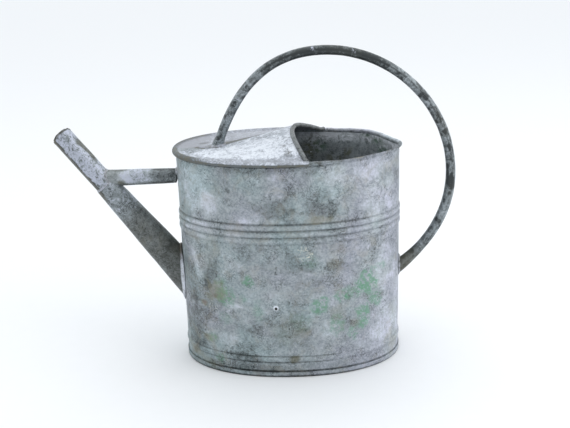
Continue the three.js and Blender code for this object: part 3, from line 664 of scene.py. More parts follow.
class Surface:
    """A mesh in the making: grids are added to it, in millimetres, and it becomes one object."""

    def __init__(self, name):
        self.name = name
        self.points = []
        self.faces = []
        self.uvs = []
        self.wear_and_shade_layers = []
        self.caps = []
        self.count = 0

    def grid(self, points, closed=False, flip=False, along=1.0, worn=None):
        """Adds a grid of points, rows by columns by 3, and their amounts of weathering and painted light.
        Flipped, its faces look the other way."""
        rows, columns = points.shape[:2]
        faces, uvs = grid_parts(rows, columns, closed, along)
        if flip:
            faces, uvs = faces[:, ::-1], uvs[:, ::-1]
        self.points.append(points.reshape(-1, 3))
        self.faces.append(faces + self.count)
        self.uvs.append(uvs)
        self.wear_and_shade_layers.append(np.zeros((rows * columns, 3)) if worn is None else worn.reshape(-1, 3))
        self.count += rows * columns
        return self.count - rows * columns

    def cap(self, first, count, flip=False):
        """Closes a ring of count points, the first of which has that number, with one face."""
        ring = list(range(first, first + count))
        self.caps.append(ring[::-1] if flip else ring)

    def rod(self, points):
        """Adds a closed grid with a face over each end."""
        rows, sides = points.shape[:2]
        first = self.grid(points, closed=True)
        self.cap(first, sides, flip=True)
        self.cap(first + (rows - 1) * sides, sides)

    def make(self, finish, thickness=0.0, inwards=False, sharp=40.0):
        """The finished object: doubles merged, a wall given where thickness isn't 0, normals out,
        metres."""
        points = (np.concatenate(self.points) + np.array([BODY_MIDDLE, 0.0, 0.0])) * 0.001
        faces = np.concatenate(self.faces)
        uvs = np.concatenate(self.uvs)
        _, first, merged = np.unique(np.round(points, 7), axis=0, return_index=True, return_inverse=True)
        merged = merged.reshape(-1)
        points = points[first]
        faces = merged[faces]
        following = np.roll(faces, -1, axis=1)
        whole = (faces != following).sum(1)
        quads = faces[whole == 4]
        triangles = faces[whole == 3]
        keep = (triangles != np.roll(triangles, -1, axis=1)).reshape(-1)
        triangles = triangles.reshape(-1)[keep].reshape(-1, 3)
        triangle_uvs = uvs[whole == 3].reshape(-1, 2)[keep].reshape(-1, 3, 2)
        rings = [[int(merged[i]) for i in ring] for ring in self.caps]
        mesh = bpy.data.meshes.new(self.name)
        mesh.from_pydata(points.tolist(), [], quads.tolist() + triangles.tolist() + rings)
        layer = mesh.uv_layers.new(name="surface")
        blank = np.zeros((sum(len(ring) for ring in rings), 2))
        flat = np.concatenate([uvs[whole == 4].reshape(-1, 2), triangle_uvs.reshape(-1, 2), blank])
        layer.data.foreach_set("uv", flat.astype(np.float32).ravel())
        worn = np.concatenate(self.wear_and_shade_layers)[first].astype(np.float32)
        mesh.attributes.new("wear_and_shade", "FLOAT_VECTOR", "POINT").data.foreach_set("vector", worn.ravel())
        mesh.update(calc_edges=True)
        piece = bpy.data.objects.new(self.name, mesh)
        bpy.context.scene.collection.objects.link(piece)
        if thickness:
            wall = piece.modifiers.new("wall", "SOLIDIFY")
            wall.thickness = thickness * 0.001
            wall.offset = -1.0 if inwards else 0.0
            apply_modifiers(piece)
        face_out(piece.data)
        shade(piece.data, sharp)
        piece.data.materials.append(finish)
        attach(piece, "root")
        return piece


def apply_modifiers(piece):
    """Puts a piece's modifiers into its mesh."""
    seen = piece.evaluated_get(bpy.context.evaluated_depsgraph_get())
    mesh = bpy.data.meshes.new_from_object(seen)
    piece.modifiers.clear()
    old = piece.data
    piece.data = mesh
    mesh.name = piece.name
    bpy.data.meshes.remove(old)


def face_out(mesh):
    """Turns a closed mesh the right way out: its volume, a sixth of the sum of each triangle's corner a dot
    (b cross c), has to be above 0."""
    mesh.calc_loop_triangles()
    corners = np.zeros(len(mesh.loop_triangles) * 3, np.int32)
    mesh.loop_triangles.foreach_get("vertices", corners)
    points = np.zeros(len(mesh.vertices) * 3, np.float32)
    mesh.vertices.foreach_get("co", points)
    a, b, c = points.reshape(-1, 3).astype(float)[corners.reshape(-1, 3)].transpose(1, 0, 2)
    if np.einsum("ij,ij->i", a, np.cross(b, c)).sum() < 0:
        mesh.flip_normals()


def repaint(piece, chosen, finish):
    """Gives a second finish to the faces that chosen picks, from their middles in millimetres and their
    normals."""
    mesh = piece.data
    count = len(mesh.polygons)
    middles, normals = np.zeros(count * 3, np.float32), np.zeros(count * 3, np.float32)
    mesh.polygons.foreach_get("center", middles)
    mesh.polygons.foreach_get("normal", normals)
    middles = middles.reshape(-1, 3).astype(float) * 1000 - np.array([BODY_MIDDLE, 0.0, 0.0])
    mesh.materials.append(finish)
    index = np.where(chosen(middles, normals.reshape(-1, 3)), len(mesh.materials) - 1, 0)
    mesh.polygons.foreach_set("material_index", index.astype(np.int32))
    mesh.update()


def shade(mesh, sharp):
    """Smooth shading, with a hard line where faces meet at more than the sharp angle, in degrees."""
    mesh.polygons.foreach_set("use_smooth", np.ones(len(mesh.polygons), bool))
    mesh.set_sharp_from_angle(angle=math.radians(sharp))
    mesh.update()


# Body: wall, pan and rim wire


def slimness(angle):
    """1 along the open near side, where the rolled edge is beaten nearly flat, and 0 elsewhere."""
    degrees = np.degrees(angle)
    return step(degrees, -76, -62) * (1 - step(degrees, -16, -2))


def roll_size(angle):
    """The rolled edge's distance out, height and radius at each angle."""
    slim = slimness(angle)
    return RIM_OUT - 0.5 * slim, HEIGHT - 1.1 * slim, ROLL_RADIUS - 1.05 * slim


def wall_profile(shape, angle):
    """Offset and height of the wall's middle line, upwards, at each angle: half sine waves for the bead
    and the ribs, an S-curved neck, and a roll of 300 degrees round the rim wire. The bead is flattened in
    one place."""
    heights = np.concatenate([
        np.linspace(1.0, BEAD_FROM, 7)[:-1],
        np.linspace(BEAD_FROM, BEAD_FROM + BEAD_WIDTH, 10)[:-1],
        np.linspace(BEAD_FROM + BEAD_WIDTH, RIBS_FROM, 56)[:-1],
        np.linspace(RIBS_FROM, RIBS_FROM + RIB_COUNT * RIB_PITCH, 31)[:-1],
        np.linspace(RIBS_FROM + RIB_COUNT * RIB_PITCH, NECK_FROM, 25)[:-1],
        np.linspace(NECK_FROM, HEIGHT, 6)[:-1],
    ])[:, None]
    roll_out, roll_height, roll_radius = roll_size(angle)
    kept = 1 - 0.75 * bell(np.degrees(angle), -60.0, 16.0)
    bead = np.sin(np.pi * clamp01((heights - BEAD_FROM) / BEAD_WIDTH)) * kept
    ribs = np.abs(np.sin(np.pi * np.clip((heights - RIBS_FROM) / RIB_PITCH, 0, RIB_COUNT)))
    neck = smooth((heights - NECK_FROM) / (HEIGHT - NECK_FROM))
    offset = -SHEET / 2 + shape.bead_rise * 1000 * bead + shape.rib_rise * 1000 * ribs
    offset = offset + (roll_out - roll_radius + SHEET / 2) * neck
    heights = heights - (HEIGHT - roll_height) * neck
    turn = np.radians(np.linspace(180, -120, 19))[:, None]
    offset = np.concatenate([offset, roll_out + roll_radius * np.cos(turn)])
    return offset, np.concatenate([heights, roll_height + roll_radius * np.sin(turn)])


def all_round(columns):
    return -np.pi + 2 * np.pi * np.arange(columns) / columns


def make_wall(shape, finish, inside):
    """The wall: its profile carried round the oval, with a hole at the spout's root, as a sheet 0.7 mm
    thick. Faces below the rim that look inwards have the inside finish."""
    angle = all_round(WALL_COLUMNS)
    offset, heights = wall_profile(shape, angle)
    points = on_body(angle[None, :], offset, heights, shape)
    wall = Surface("wall")
    wall.grid(points, closed=True, flip=True, worn=wall_wear_and_shade(points))
    middle = points.reshape(-1, 3)[wall.faces[0]].mean(1)
    axis = middle - SPOUT_ROOT
    along = axis @ SPOUT_WAY
    up = axis - along[:, None] * SPOUT_WAY
    high, wide = up @ SPOUT_UP / (ROOT_RADIUS - 2), up[:, 1] / (ROOT_HALF_WIDTH - 2)
    hole = (high**2 + wide**2 < 1) & (np.abs(along) < 40) & (middle[:, 0] < 0)
    wall.faces[0] = wall.faces[0][~hole]
    wall.uvs[0] = wall.uvs[0][~hole]
    piece = wall.make(finish, SHEET)

    def looks_in(at, way):
        return ((wall_way(at) * way).sum(-1) < -0.3) & (at[:, 2] < HEIGHT - 2.5)

    repaint(piece, looks_in, inside)
    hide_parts("body_wall")


def make_pan(shape, finish):
    """The pan: a flat floor, a turn down, and a band folded up round the wall's lower edge."""
    angle = all_round(PAN_COLUMNS)
    shrinks = np.array([0.0, 0.15, 0.35, 0.55, 0.75, 0.9, 0.97])
    x, y = oval(angle, PAN_INSET)
    high = FLOOR_HEIGHT + 0.8 * (1 - shrinks[:, None] ** 2) + 0 * x[None]
    floor = np.stack([x[None] * shrinks[:, None], y[None] * shrinks[:, None], high], -1)
    inner, outer, foot, corner, cut = PAN_INSET, PAN_OUT, PAN_FOOT, PAN_CORNER, PAN_CORNER * 0.3
    line = np.array([
        (inner - corner, FLOOR_HEIGHT),
        (inner - cut, FLOOR_HEIGHT - cut),
        (inner, FLOOR_HEIGHT - corner),
        (inner, 4.0),
        (inner, foot + corner),
        (inner + cut, foot + cut),
        (inner + corner, foot),
        (outer - corner, foot),
        (outer - cut, foot + cut),
        (outer, foot + corner),
        (outer, 2.5),
        (outer, 4.8),
        (outer, BAND_TOP),
    ])
    side = on_body(angle[None, :], line[:, :1], line[:, 1:], shape)
    side[..., 1] -= push(angle[None, :], line[:, 1:])
    pan = Surface("bottom_pan_folded")
    points = np.concatenate([floor, side])
    pan.grid(points, closed=True, worn=wall_wear_and_shade(points))
    piece = pan.make(finish, SHEET)
    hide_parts("bottom_pan")


def make_rim_wire(shape, finish):
    """The rim wire: a circle carried round the oval inside the wall's roll."""
    angle = all_round(PAN_COLUMNS)[:, None]
    turn = np.radians(np.linspace(0, 360, 10, endpoint=False))[None, :]
    out, height, radius = roll_size(angle)
    radius = radius - ROLL_RADIUS + RIM_WIRE_RADIUS
    rows = on_body(angle, out + radius * np.cos(turn), height + 0 * turn, shape)
    rows[..., 2] = height + radius * np.sin(turn)
    rows = np.concatenate([rows, rows[:1]])
    wire = Surface("rim_wire_round")
    wire.grid(rows, closed=True)
    piece = wire.make(finish)
    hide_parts("rim_wire")


# Hood and mouth wire


def mouth_ends():
    """The angles on the oval where the mouth's edge reaches the rim, on the near and on the far side."""
    def past(angle):
        x, y = oval(angle, 0.0)
        return x - mouth_x(y)

    near = -halve(lambda angle: past(-angle), math.pi * 0.9, math.pi * 0.2)
    far = halve(past, math.pi * 0.9, math.pi * 0.2)
    return float(near), float(far)


def make_hood(shape, finish, rubbed):
    """The hood. Its cover is a grid of bent rows from the near edge over the ridge line to the far edge,
    the first along the mouth's parabola and the last doubled on the line from the handle's foot to the
    nose; its height is the ridge formula. A profile folded over the rim is carried along the edge. The
    mouth's edge ends in a round hem."""
    near, far = mouth_ends()
    rows, half = HOOD_ROWS, HOOD_HALF
    share = np.linspace(0, 1, rows)
    near_angle = near + (-math.pi - near) * share
    far_angle = far + (math.pi - far) * share
    near_x, near_y = oval(near_angle, -MOAT)
    far_x, far_y = oval(far_angle, -MOAT)
    far_y[-1] = near_y[-1] = 0.0
    spine_x = mouth_x(0.0) + (RIDGE_FROM - mouth_x(0.0)) * share
    across = np.linspace(-1, 1, 2 * half + 1)
    out = np.abs(across)[None, :]
    edge_x = np.where(across[None, :] < 0, near_x[:, None], far_x[:, None])
    edge_y = np.where(across[None, :] < 0, near_y[:, None], far_y[:, None])
    x = spine_x[:, None] * (1 - out) + edge_x * out
    y = edge_y * out
    edge_mouth = np.where(across[None, :] < 0, mouth_x(near_y[:1]), mouth_x(far_y[:1]))
    straight = mouth_x(0.0) * (1 - out) + edge_mouth * out
    x += (mouth_x(y) - straight) * (1 - share[:, None]) ** 2 * (out < 1)
    cover = np.stack([x, y, COVER_HEIGHT + hood_rise(x, y)], -1)
    inner = (1 - out**4) * (1 - (1 - share[:, None]) ** 6)
    cover[..., 2] += inner * (0.5 * grain(cover, 34.0, 21) + 0.22 * grain(cover, 13.0, 22))
    cover[-1, half + 1:] = cover[-1, :half][::-1]
    turn = np.radians(np.linspace(150, -60, 15))[:, None]
    edge_angle = np.concatenate([near_angle, far_angle[-2::-1]])
    from_end = np.minimum(np.arange(len(edge_angle)), np.arange(len(edge_angle))[::-1]) * 2.4
    radius = FOLD_RADIUS - 0.55 * (1 - smooth(from_end / 14.0))
    flat = np.zeros((3, 1)) * radius
    offset = np.concatenate([flat + [[-MOAT], [-4.6], [-3.2]], RIM_OUT + radius * np.cos(turn)])
    rise = np.array([[0.0], [0.12], [0.3]])
    height = np.concatenate([flat + COVER_HEIGHT + rise, HEIGHT + radius * np.sin(turn)])
    flat_shape = height * 0 + COVER_HEIGHT
    fold = on_body(edge_angle[None, :], offset, flat_shape, shape)
    fold[..., 2] = height
    fold[0, :, :2] = np.stack(oval(edge_angle, -MOAT), -1)
    fold[0, rows - 1] = cover[-1, 0]
    fold[..., 1] -= push(edge_angle[None, :], flat_shape) * (offset <= -MOAT)
    fold[0] = np.concatenate([cover[:, 0], cover[-2::-1, -1]])
    hood = Surface("hood_cover")
    hood.grid(cover, worn=hood_wear_and_shade(cover))
    hood.grid(fold, worn=hood_wear_and_shade(fold))
    piece = hood.make(finish, SHEET, sharp=TUBE_SHARP)
    hem = Surface("hood_hem")
    line = mouth_line()
    lumps = 1 + 0.06 * grain(line, 9.0, 31)[:, None, None]
    hem.rod(line[:, None] + HEM_RADIUS * lumps * rings_round(line, HEM_SIDES))
    edge = hem.make(rubbed, sharp=SOLDER_SHARP)
    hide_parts("hood")


def mouth_line():
    """Points along the middle of the hem: the mouth's parabola from rim to rim, lifted by the ridge
    formula."""
    near, far = mouth_ends()
    start, end = oval(near, -1.0)[1], oval(far, -1.0)[1]
    y = start + (end - start) * np.linspace(0, 1, HEM_POINTS)
    x = mouth_x(y)
    return np.stack([x, y, COVER_HEIGHT + HEM_LIFT + hood_rise(x, y)], -1)


def rings_round(line, sides):
    """A circle of unit vectors at each point of a line, square to it and level at angle 0."""
    way = unit(np.gradient(line, axis=0))
    level = unit(np.cross(way, [0, 0, 1.0]))
    turn = round_turn(sides)[None, :, None]
    return level[:, None] * np.cos(turn) + np.cross(level, way)[:, None] * np.sin(turn)


def make_mouth_wire(finish):
    """The mouth wire: a circle carried along the hem's middle line, a little short at both ends."""
    line = mouth_line()[3:-3]
    wire = Surface("mouth_wire_round")
    wire.rod(line[:, None] + MOUTH_WIRE_RADIUS * rings_round(line, 8))
    piece = wire.make(finish)
    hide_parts("mouth_wire")


# Handle


def handle_line():
    """Points, ways and distances along the handle's middle line: three cubic Bezier curves from the foot
    over the crown and the back to the root, with a straight start and end."""
    foot, crown, back, root = (np.array(p) for p in (FOOT, CROWN, BACK, ROOT))
    foot_way = np.array([math.sin(FOOT_LEAN), math.cos(FOOT_LEAN)])
    root_way = np.array([math.cos(ROOT_RISE), math.sin(ROOT_RISE)])
    curves = [
        (foot, foot + FOOT_REACH * foot_way, crown - (CROWN_REACHES[0], 0), crown),
        (crown, crown + (CROWN_REACHES[1], 0), back + (0, BACK_REACHES[0]), back),
        (back, back - (0, BACK_REACHES[1]), root + ROOT_REACH * root_way, root),
    ]
    t = np.linspace(0, 1, 200)[:, None]
    first, second, third = (
        (1 - t) ** 3 * a + 3 * (1 - t) ** 2 * t * b + 3 * (1 - t) * t**2 * c + t**3 * d
        for a, b, c, d in curves
    )
    start, end = foot - STUB * foot_way, root - STUB * root_way
    line = np.concatenate([[start], first, second[1:], third[1:], [end]])
    gaps = np.linalg.norm(np.diff(line, axis=0), axis=1)
    return line, unit(np.gradient(line, axis=0)), np.concatenate([[0], np.cumsum(gaps)]) - STUB


def on_handle(distance, around, grow=0.0):
    """A point of the handle's tube at a distance from the foot and an angle round it, 0 on the outer side
    and a quarter turn on the far side. The tube widens towards both ends, in the middle plane only, and a
    lap seam runs along its near side."""
    line, way, at = handle_line()
    middle = np.stack([np.interp(distance, at, line[:, k]) for k in (0, 1)], -1)
    along = unit(np.stack([np.interp(distance, at, way[:, k]) for k in (0, 1)], -1))
    outward = np.stack([-along[..., 1], along[..., 0]], -1)
    front = clamp01(1 - distance / FOOT_FLARE_LENGTH) * FOOT_FLARE
    rear = clamp01(1 - (at[-1] - STUB - distance) / ROOT_FLARE_LENGTH) * ROOT_FLARE
    rear = rear + 0.05 * step(distance, 395, 450)
    wander = 0.16 * grain(unrolled(distance, around, 8), 14.0, 41)
    radius = TUBE_RADIUS - 0.1 + lap_seam(around, 1.32, 0.42, 0.5, 0.5, 0.13) + wander + grow
    stretch = 1 + front + rear
    x = middle[..., 0] + radius * np.cos(around) * stretch * outward[..., 0]
    z = middle[..., 1] + radius * np.cos(around) * stretch * outward[..., 1]
    return np.stack([x, radius * np.sin(around), z], -1)


def handle_length():
    return handle_line()[2][-1] - STUB


def handle_ends(around):
    """The distances at which the tube meets the hood's top and the wall's outside, at each angle round
    it."""
    whole = handle_length()

    def above(distance):
        point = on_handle(distance, around)
        return point[..., 2] - (COVER_HEIGHT + SHEET / 2 + 0.2 + hood_rise(point[..., 0], point[..., 1]))

    def within(distance):
        return -outside(on_handle(distance, around), 0.25)

    return halve(above, -14.0, 10.0, around), halve(within, whole - 30, whole + 14, around)


def make_tube(name, on_tube, worn, start, end, share, finish, thickness=SHEET, **more):
    """A sheet tube: rings from start to end at each angle round it, as a wall that grows inwards."""
    distance = start * (1 - share) + end * share
    around = np.broadcast_to(round_turn(distance.shape[1]), distance.shape)
    tube = Surface(name)
    tube.grid(on_tube(distance, around), closed=True, worn=worn(distance, around), **more)
    return tube.make(finish, thickness, inwards=True, sharp=TUBE_SHARP)


def make_handle(finish):
    """The handle: a tube swept along the middle line, cut to the hood at the front and to the wall at the
    back."""
    start, end = handle_ends(round_turn(HANDLE_SIDES))
    share = np.linspace(0, 1, HANDLE_RINGS)[:, None]
    along = handle_length() / 1000
    piece = make_tube(
        "handle", on_handle, handle_wear_and_shade, start, end, share, finish, HANDLE_SHEET, flip=True, along=along
    )
    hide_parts("handle_tube")


# Spout and brace


def on_cone(distance, around, grow=0.0):
    """A point of the spout's cone: an ellipse whose half height falls evenly from 20.35 to 13.6 and half
    width from 15.5 to 13.6, square to the spout, with 0.4 mm and dents added. Angle 0 is on the upper
    side and a quarter turn on the far side."""
    share = distance / CONE_LENGTH
    high = ROOT_RADIUS + (CONE_TOP_RADIUS - ROOT_RADIUS) * share + grow
    wide = ROOT_HALF_WIDTH + (CONE_TOP_RADIUS - ROOT_HALF_WIDTH) * share + grow
    seam = lap_seam(around, 2.25, 0.5, 0.35, 0.3, 0.06)
    spot = unrolled(distance, around, 14)
    dents = 0.3 * grain(spot, 30.0, 51) + 0.15 * grain(spot, 11.0, 52) + 0.4
    radial = (high + seam + dents)[..., None] * np.cos(around)[..., None] * SPOUT_UP
    level = (wide + seam + dents)[..., None] * np.sin(around)[..., None] * ACROSS
    return SPOUT_ROOT + distance[..., None] * SPOUT_WAY + radial + level


def cone_start(around):
    """The distance at which the cone meets the wall's outside, at each angle round it."""
    return halve(lambda d: outside(on_cone(d, around), 0.3), -55.0, 60.0, around)


def make_cone(finish):
    share = (np.linspace(0, 1, CONE_RINGS) ** 1.2)[:, None]
    start = cone_start(round_turn(CONE_SIDES))
    piece = make_tube("spout_lower", on_cone, spout_wear, start, CONE_LENGTH, share, finish)
    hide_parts("spout_cone")


def on_tip(distance, around, grow=0.0):
    """A point of the spout's tip: a round tube with a lap seam low on the near side and small dents, a
    little wider towards the cone."""
    spot = unrolled(distance, around, 12)
    dents = 0.22 * grain(spot, 19.0, 61) + 0.12 * grain(spot, 8.0, 62) + 0.45 * (TIP_END - distance) / 79
    radius = TIP_RADIUS + lap_seam(around, 2.3, 0.45, 0.4, 0.35, 0.07) + dents + grow
    return SPOUT_ROOT + distance[..., None] * SPOUT_WAY + radius[..., None] * square_way(around, SPOUT_UP)


def make_tip(shape, finish):
    """The tip: its end is cut askew, longer on the near and upper sides, ragged and nicked."""
    around = round_turn(TIP_SIDES)
    ring = np.stack([12 * np.cos(around), 12 * np.sin(around), 0 * around], -1)
    rag = shape.tip_rag * 1000 * (grain(ring, 2.4, 71) + 0.8 * grain(ring, 6.0, 72))
    nick = -1.7 * bell(np.mod(around, 2 * np.pi), 2 * np.pi - 2.35, 0.13)
    end = TIP_END + TIP_SLANT * np.cos(around) - TIP_SKEW * np.sin(around) + rag + nick - 0.6
    share = (1 - (1 - np.linspace(0, 1, TIP_RINGS)) ** 1.15)[:, None]

    def flared(distance, around):
        return on_tip(distance, around, 0.25 * smooth(1 - (end - distance) / 2.5))

    piece = make_tube("spout_upper", flared, spout_wear, CONE_LENGTH - TIP_SUNK, end, share, finish)
    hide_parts("spout_tip")


BRACE_WAY = unit(BRACE_TO - BRACE_FROM)
BRACE_UP = np.array([-BRACE_WAY[2], 0.0, BRACE_WAY[0]])
BRACE_LENGTH = float(np.linalg.norm(BRACE_TO - BRACE_FROM))


def on_brace(distance, around, grow=0.0):
    """A point of the brace: a straight tube from the spout's middle line to the wall, 10.3 narrowing to
    8.9 mm. Angle 0 is on top and a quarter turn on the far side."""
    spot = unrolled(distance, around, 10)
    dents = 0.25 * grain(spot, 17.0, 81) + 0.12 * grain(spot, 7.0, 82) + 0.1
    radius = BRACE_SPOUT_RADIUS + (BRACE_BODY_RADIUS - BRACE_SPOUT_RADIUS) * distance / BRACE_LENGTH
    radius = (radius + dents + grow)[..., None]
    return BRACE_FROM + distance[..., None] * BRACE_WAY + radius * square_way(around, BRACE_UP)


def from_spout(points):
    """The way from the spout's middle line straight out to each point."""
    axis = points - SPOUT_ROOT
    return axis - (axis @ SPOUT_WAY)[..., None] * SPOUT_WAY


def spout_out(points):
    return unit(from_spout(points))


def brace_ends(around):
    """The distances at which the brace meets the spout and the wall; at the wall it leaves a slit that
    widens downwards."""
    def beyond_spout(distance):
        return np.linalg.norm(from_spout(on_brace(distance, around)), axis=-1) - TIP_RADIUS - 0.1

    slit = 0.3 + 0.8 * (1 - np.cos(around))
    end = halve(lambda d: -outside(on_brace(d, around), 0.2), BRACE_MIDDLE, BRACE_LENGTH + 9, around)
    return halve(beyond_spout, 0.0, BRACE_MIDDLE, around), end - slit


def make_brace(finish):
    start, end = brace_ends(round_turn(BRACE_SIDES))
    share = np.linspace(0, 1, BRACE_RINGS)[:, None]
    piece = make_tube("brace", on_brace, brace_wear, start, end, share, finish, flip=True)
    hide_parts("brace_tube")


# Solder


def fillet(
    name, joint, along_first, along_second, first, second, shape, closed=True, fullness=1.2, lump=4.0
):
    """A bead of solder: at each point of a joint, a quarter curve from first millimetres along one
    surface to second millimetres along the other, cosine and sine to a power, closed behind the joint,
    with a lumpy size."""
    lumps = shape.solder_lumps
    turn = np.linspace(0, np.pi / 2, 9)
    first = first * (1 + lumps * grain(joint, lump, 91) + 0.5 * lumps * grain(joint, lump / 2.6, 92))
    second = second * (1 + 0.7 * lumps * grain(joint, lump * 1.3, 93))
    front = (
        joint[:, None]
        + first[:, None, None] * (np.cos(turn) ** fullness)[None, :, None] * along_first[:, None]
        + second[:, None, None] * (np.sin(turn) ** fullness)[None, :, None] * along_second[:, None]
    )
    corner = joint - 0.25 * (along_first + along_second)
    section = np.concatenate([front, corner[:, None]], 1)
    bead = Surface(name)
    if closed:
        bead.grid(np.concatenate([section, section[:1]]), closed=True)
    else:
        bead.rod(section)
    return bead


def bead_round(name, on_tube, at, around, ahead, out, sizes, shape, **more):
    """A bead round a tube's end: from the joint along what the tube stands on, whose outward way out
    gives, and along the tube towards ahead."""
    joint = on_tube(at, around)
    along = unit(on_tube(at + ahead, around) - joint)
    away, out_way = unit(on_tube(at, around, 2.0) - joint), out(joint)
    away = unit(away - (away * out_way).sum(-1, keepdims=True) * out_way)
    return fillet(name, joint, away, along, *sizes, shape, **more)


def solder_spout_root(shape, finish):
    around = round_turn(120)
    near = bell(around, 1.5 * np.pi, 1.5)
    name, sizes = "solder_root", (3.4 + 3 * near, 4.6 + 2 * near)
    start = cone_start(around)
    bead = bead_round(name, on_cone, start, around, 8, wall_way, sizes, shape, fullness=1.0, lump=11.0)
    piece = bead.make(finish, sharp=SOLDER_SHARP)
    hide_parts("solder_spout_root")


def solder_spout_joint(shape, finish):
    around = round_turn(96)
    at = np.full_like(around, CONE_LENGTH - 0.4)
    joint = on_tip(at, around, -0.1)
    away = unit(on_tip(at, around, 2.0) - joint)
    higher = np.broadcast_to(SPOUT_WAY, away.shape)
    bead = fillet("solder_joint", joint, away, higher, 1.15, 2.6, shape, fullness=1.1)
    piece = bead.make(finish, sharp=SOLDER_SHARP)
    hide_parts("solder_spout_joint")


def solder_brace_spout(shape, finish):
    around = round_turn(96)
    start, _ = brace_ends(around)
    name, sizes = "solder_brace_at_spout", (1.7, 2.3)
    bead = bead_round(name, on_brace, start, around, 5, spout_out, sizes, shape)
    piece = bead.make(finish, sharp=SOLDER_SHARP)
    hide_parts("solder_brace_spout")


def solder_brace_body(shape, finish):
    """What is left of the bead at the brace's wall end: it covers the upper part of the joint and tapers
    off."""
    around = np.linspace(-1.35, 1.35, 60)
    _, end = brace_ends(around)
    wall = halve(lambda d: -outside(on_brace(d, around), 0.0), BRACE_MIDDLE, BRACE_LENGTH + 9, around)
    joint = on_brace(np.maximum(wall - 0.1, end), around)
    back = -unit(on_brace(end, around) - on_brace(end - 5, around))
    away = unit(on_brace(end, around, 2.0) - on_brace(end, around))
    taper = smooth(1.08 - (np.abs(around) / 1.35) ** 3)
    sizes = 1.6 * taper, 2.6 * taper
    name = "solder_brace_at_body"
    bead = fillet(name, joint, away, back, *sizes, shape, closed=False)
    piece = bead.make(finish, sharp=SOLDER_SHARP)
    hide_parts("solder_brace_body")


def solder_handle_front(shape, finish):
    """The fillet round the handle's foot, and the ragged pad of old solder ahead of it."""
    around = round_turn(80)
    start, _ = handle_ends(around)
    joint = on_handle(start, around)
    higher = unit(on_handle(start + 4, around) - joint)
    away = unit((on_handle(start, around, 2.0) - joint) * np.array([1, 1, 0.0]))
    bead = fillet("solder_foot", joint, away, higher, 2.6, 3.2, shape, fullness=1.35)
    share = np.linspace(1, 0, PAD_RINGS)[:, None]
    turn = round_turn(PAD_SIDES)
    ring = np.stack([np.cos(turn), np.sin(turn), 0 * turn], -1)
    uneven = 1 + 0.22 * grain(ring * 8.5, 3.5, 95) + 0.1 * grain(ring * 8.5, 1.6, 96)
    x = PAD_X + PAD_HALF_LENGTH * share * (np.cos(turn) * uneven)[None]
    y = PAD_HALF_WIDTH * share * (np.sin(turn) * uneven)[None]
    flat = np.stack([x, y, 0 * x], -1)
    lumps = grain(flat, 2.6, 97) + 0.6 * grain(flat, 1.2, 98)
    top = COVER_HEIGHT + SHEET / 2
    z = top + 1.35 * (1 - share**6) + 0.35 * lumps * (1 - share**4)
    base = np.stack([x[:1], y[:1], np.full_like(x[:1], top - 0.2)], -1)
    pad = np.concatenate([base, np.stack([x, y, z + 0.1], -1)])
    pad[-1] = pad[-1].mean(0)
    first = bead.grid(pad, closed=True)
    bead.cap(first, PAD_SIDES, flip=True)
    piece = bead.make(finish, sharp=SOLDER_SHARP)
    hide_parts("solder_handle_front")


def solder_handle_rear(shape, finish):
    around = round_turn(80)
    _, end = handle_ends(around)
    sizes = 1.7 * (1 + 2.2 * bell(around, np.pi, 0.75)), 2.4
    bead = bead_round("solder_rear", on_handle, end, around, -6, wall_way, sizes, shape, fullness=1.3)
    piece = bead.make(finish, sharp=SOLDER_SHARP)
    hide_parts("solder_handle_rear")


SOLDERS = (
    solder_spout_root,
    solder_spout_joint,
    solder_brace_spout,
    solder_brace_body,
    solder_handle_front,
    solder_handle_rear,
)


# Finishes


class Value:
    """A number that a node gives. Sums, differences, products and shares of it add math nodes."""

    def __init__(self, paint, socket):
        self.paint = paint
        self.socket = socket

    def __add__(self, other):
        return self.paint.math("ADD", self, other)

    def __sub__(self, other):
        return self.paint.math("SUBTRACT", self, other)

    def __mul__(self, other):
        return self.paint.math("MULTIPLY", self, other)

    def __truediv__(self, other):
        return self.paint.math("DIVIDE", self, other)

    def __abs__(self):
        return self.paint.math("ABSOLUTE", self)


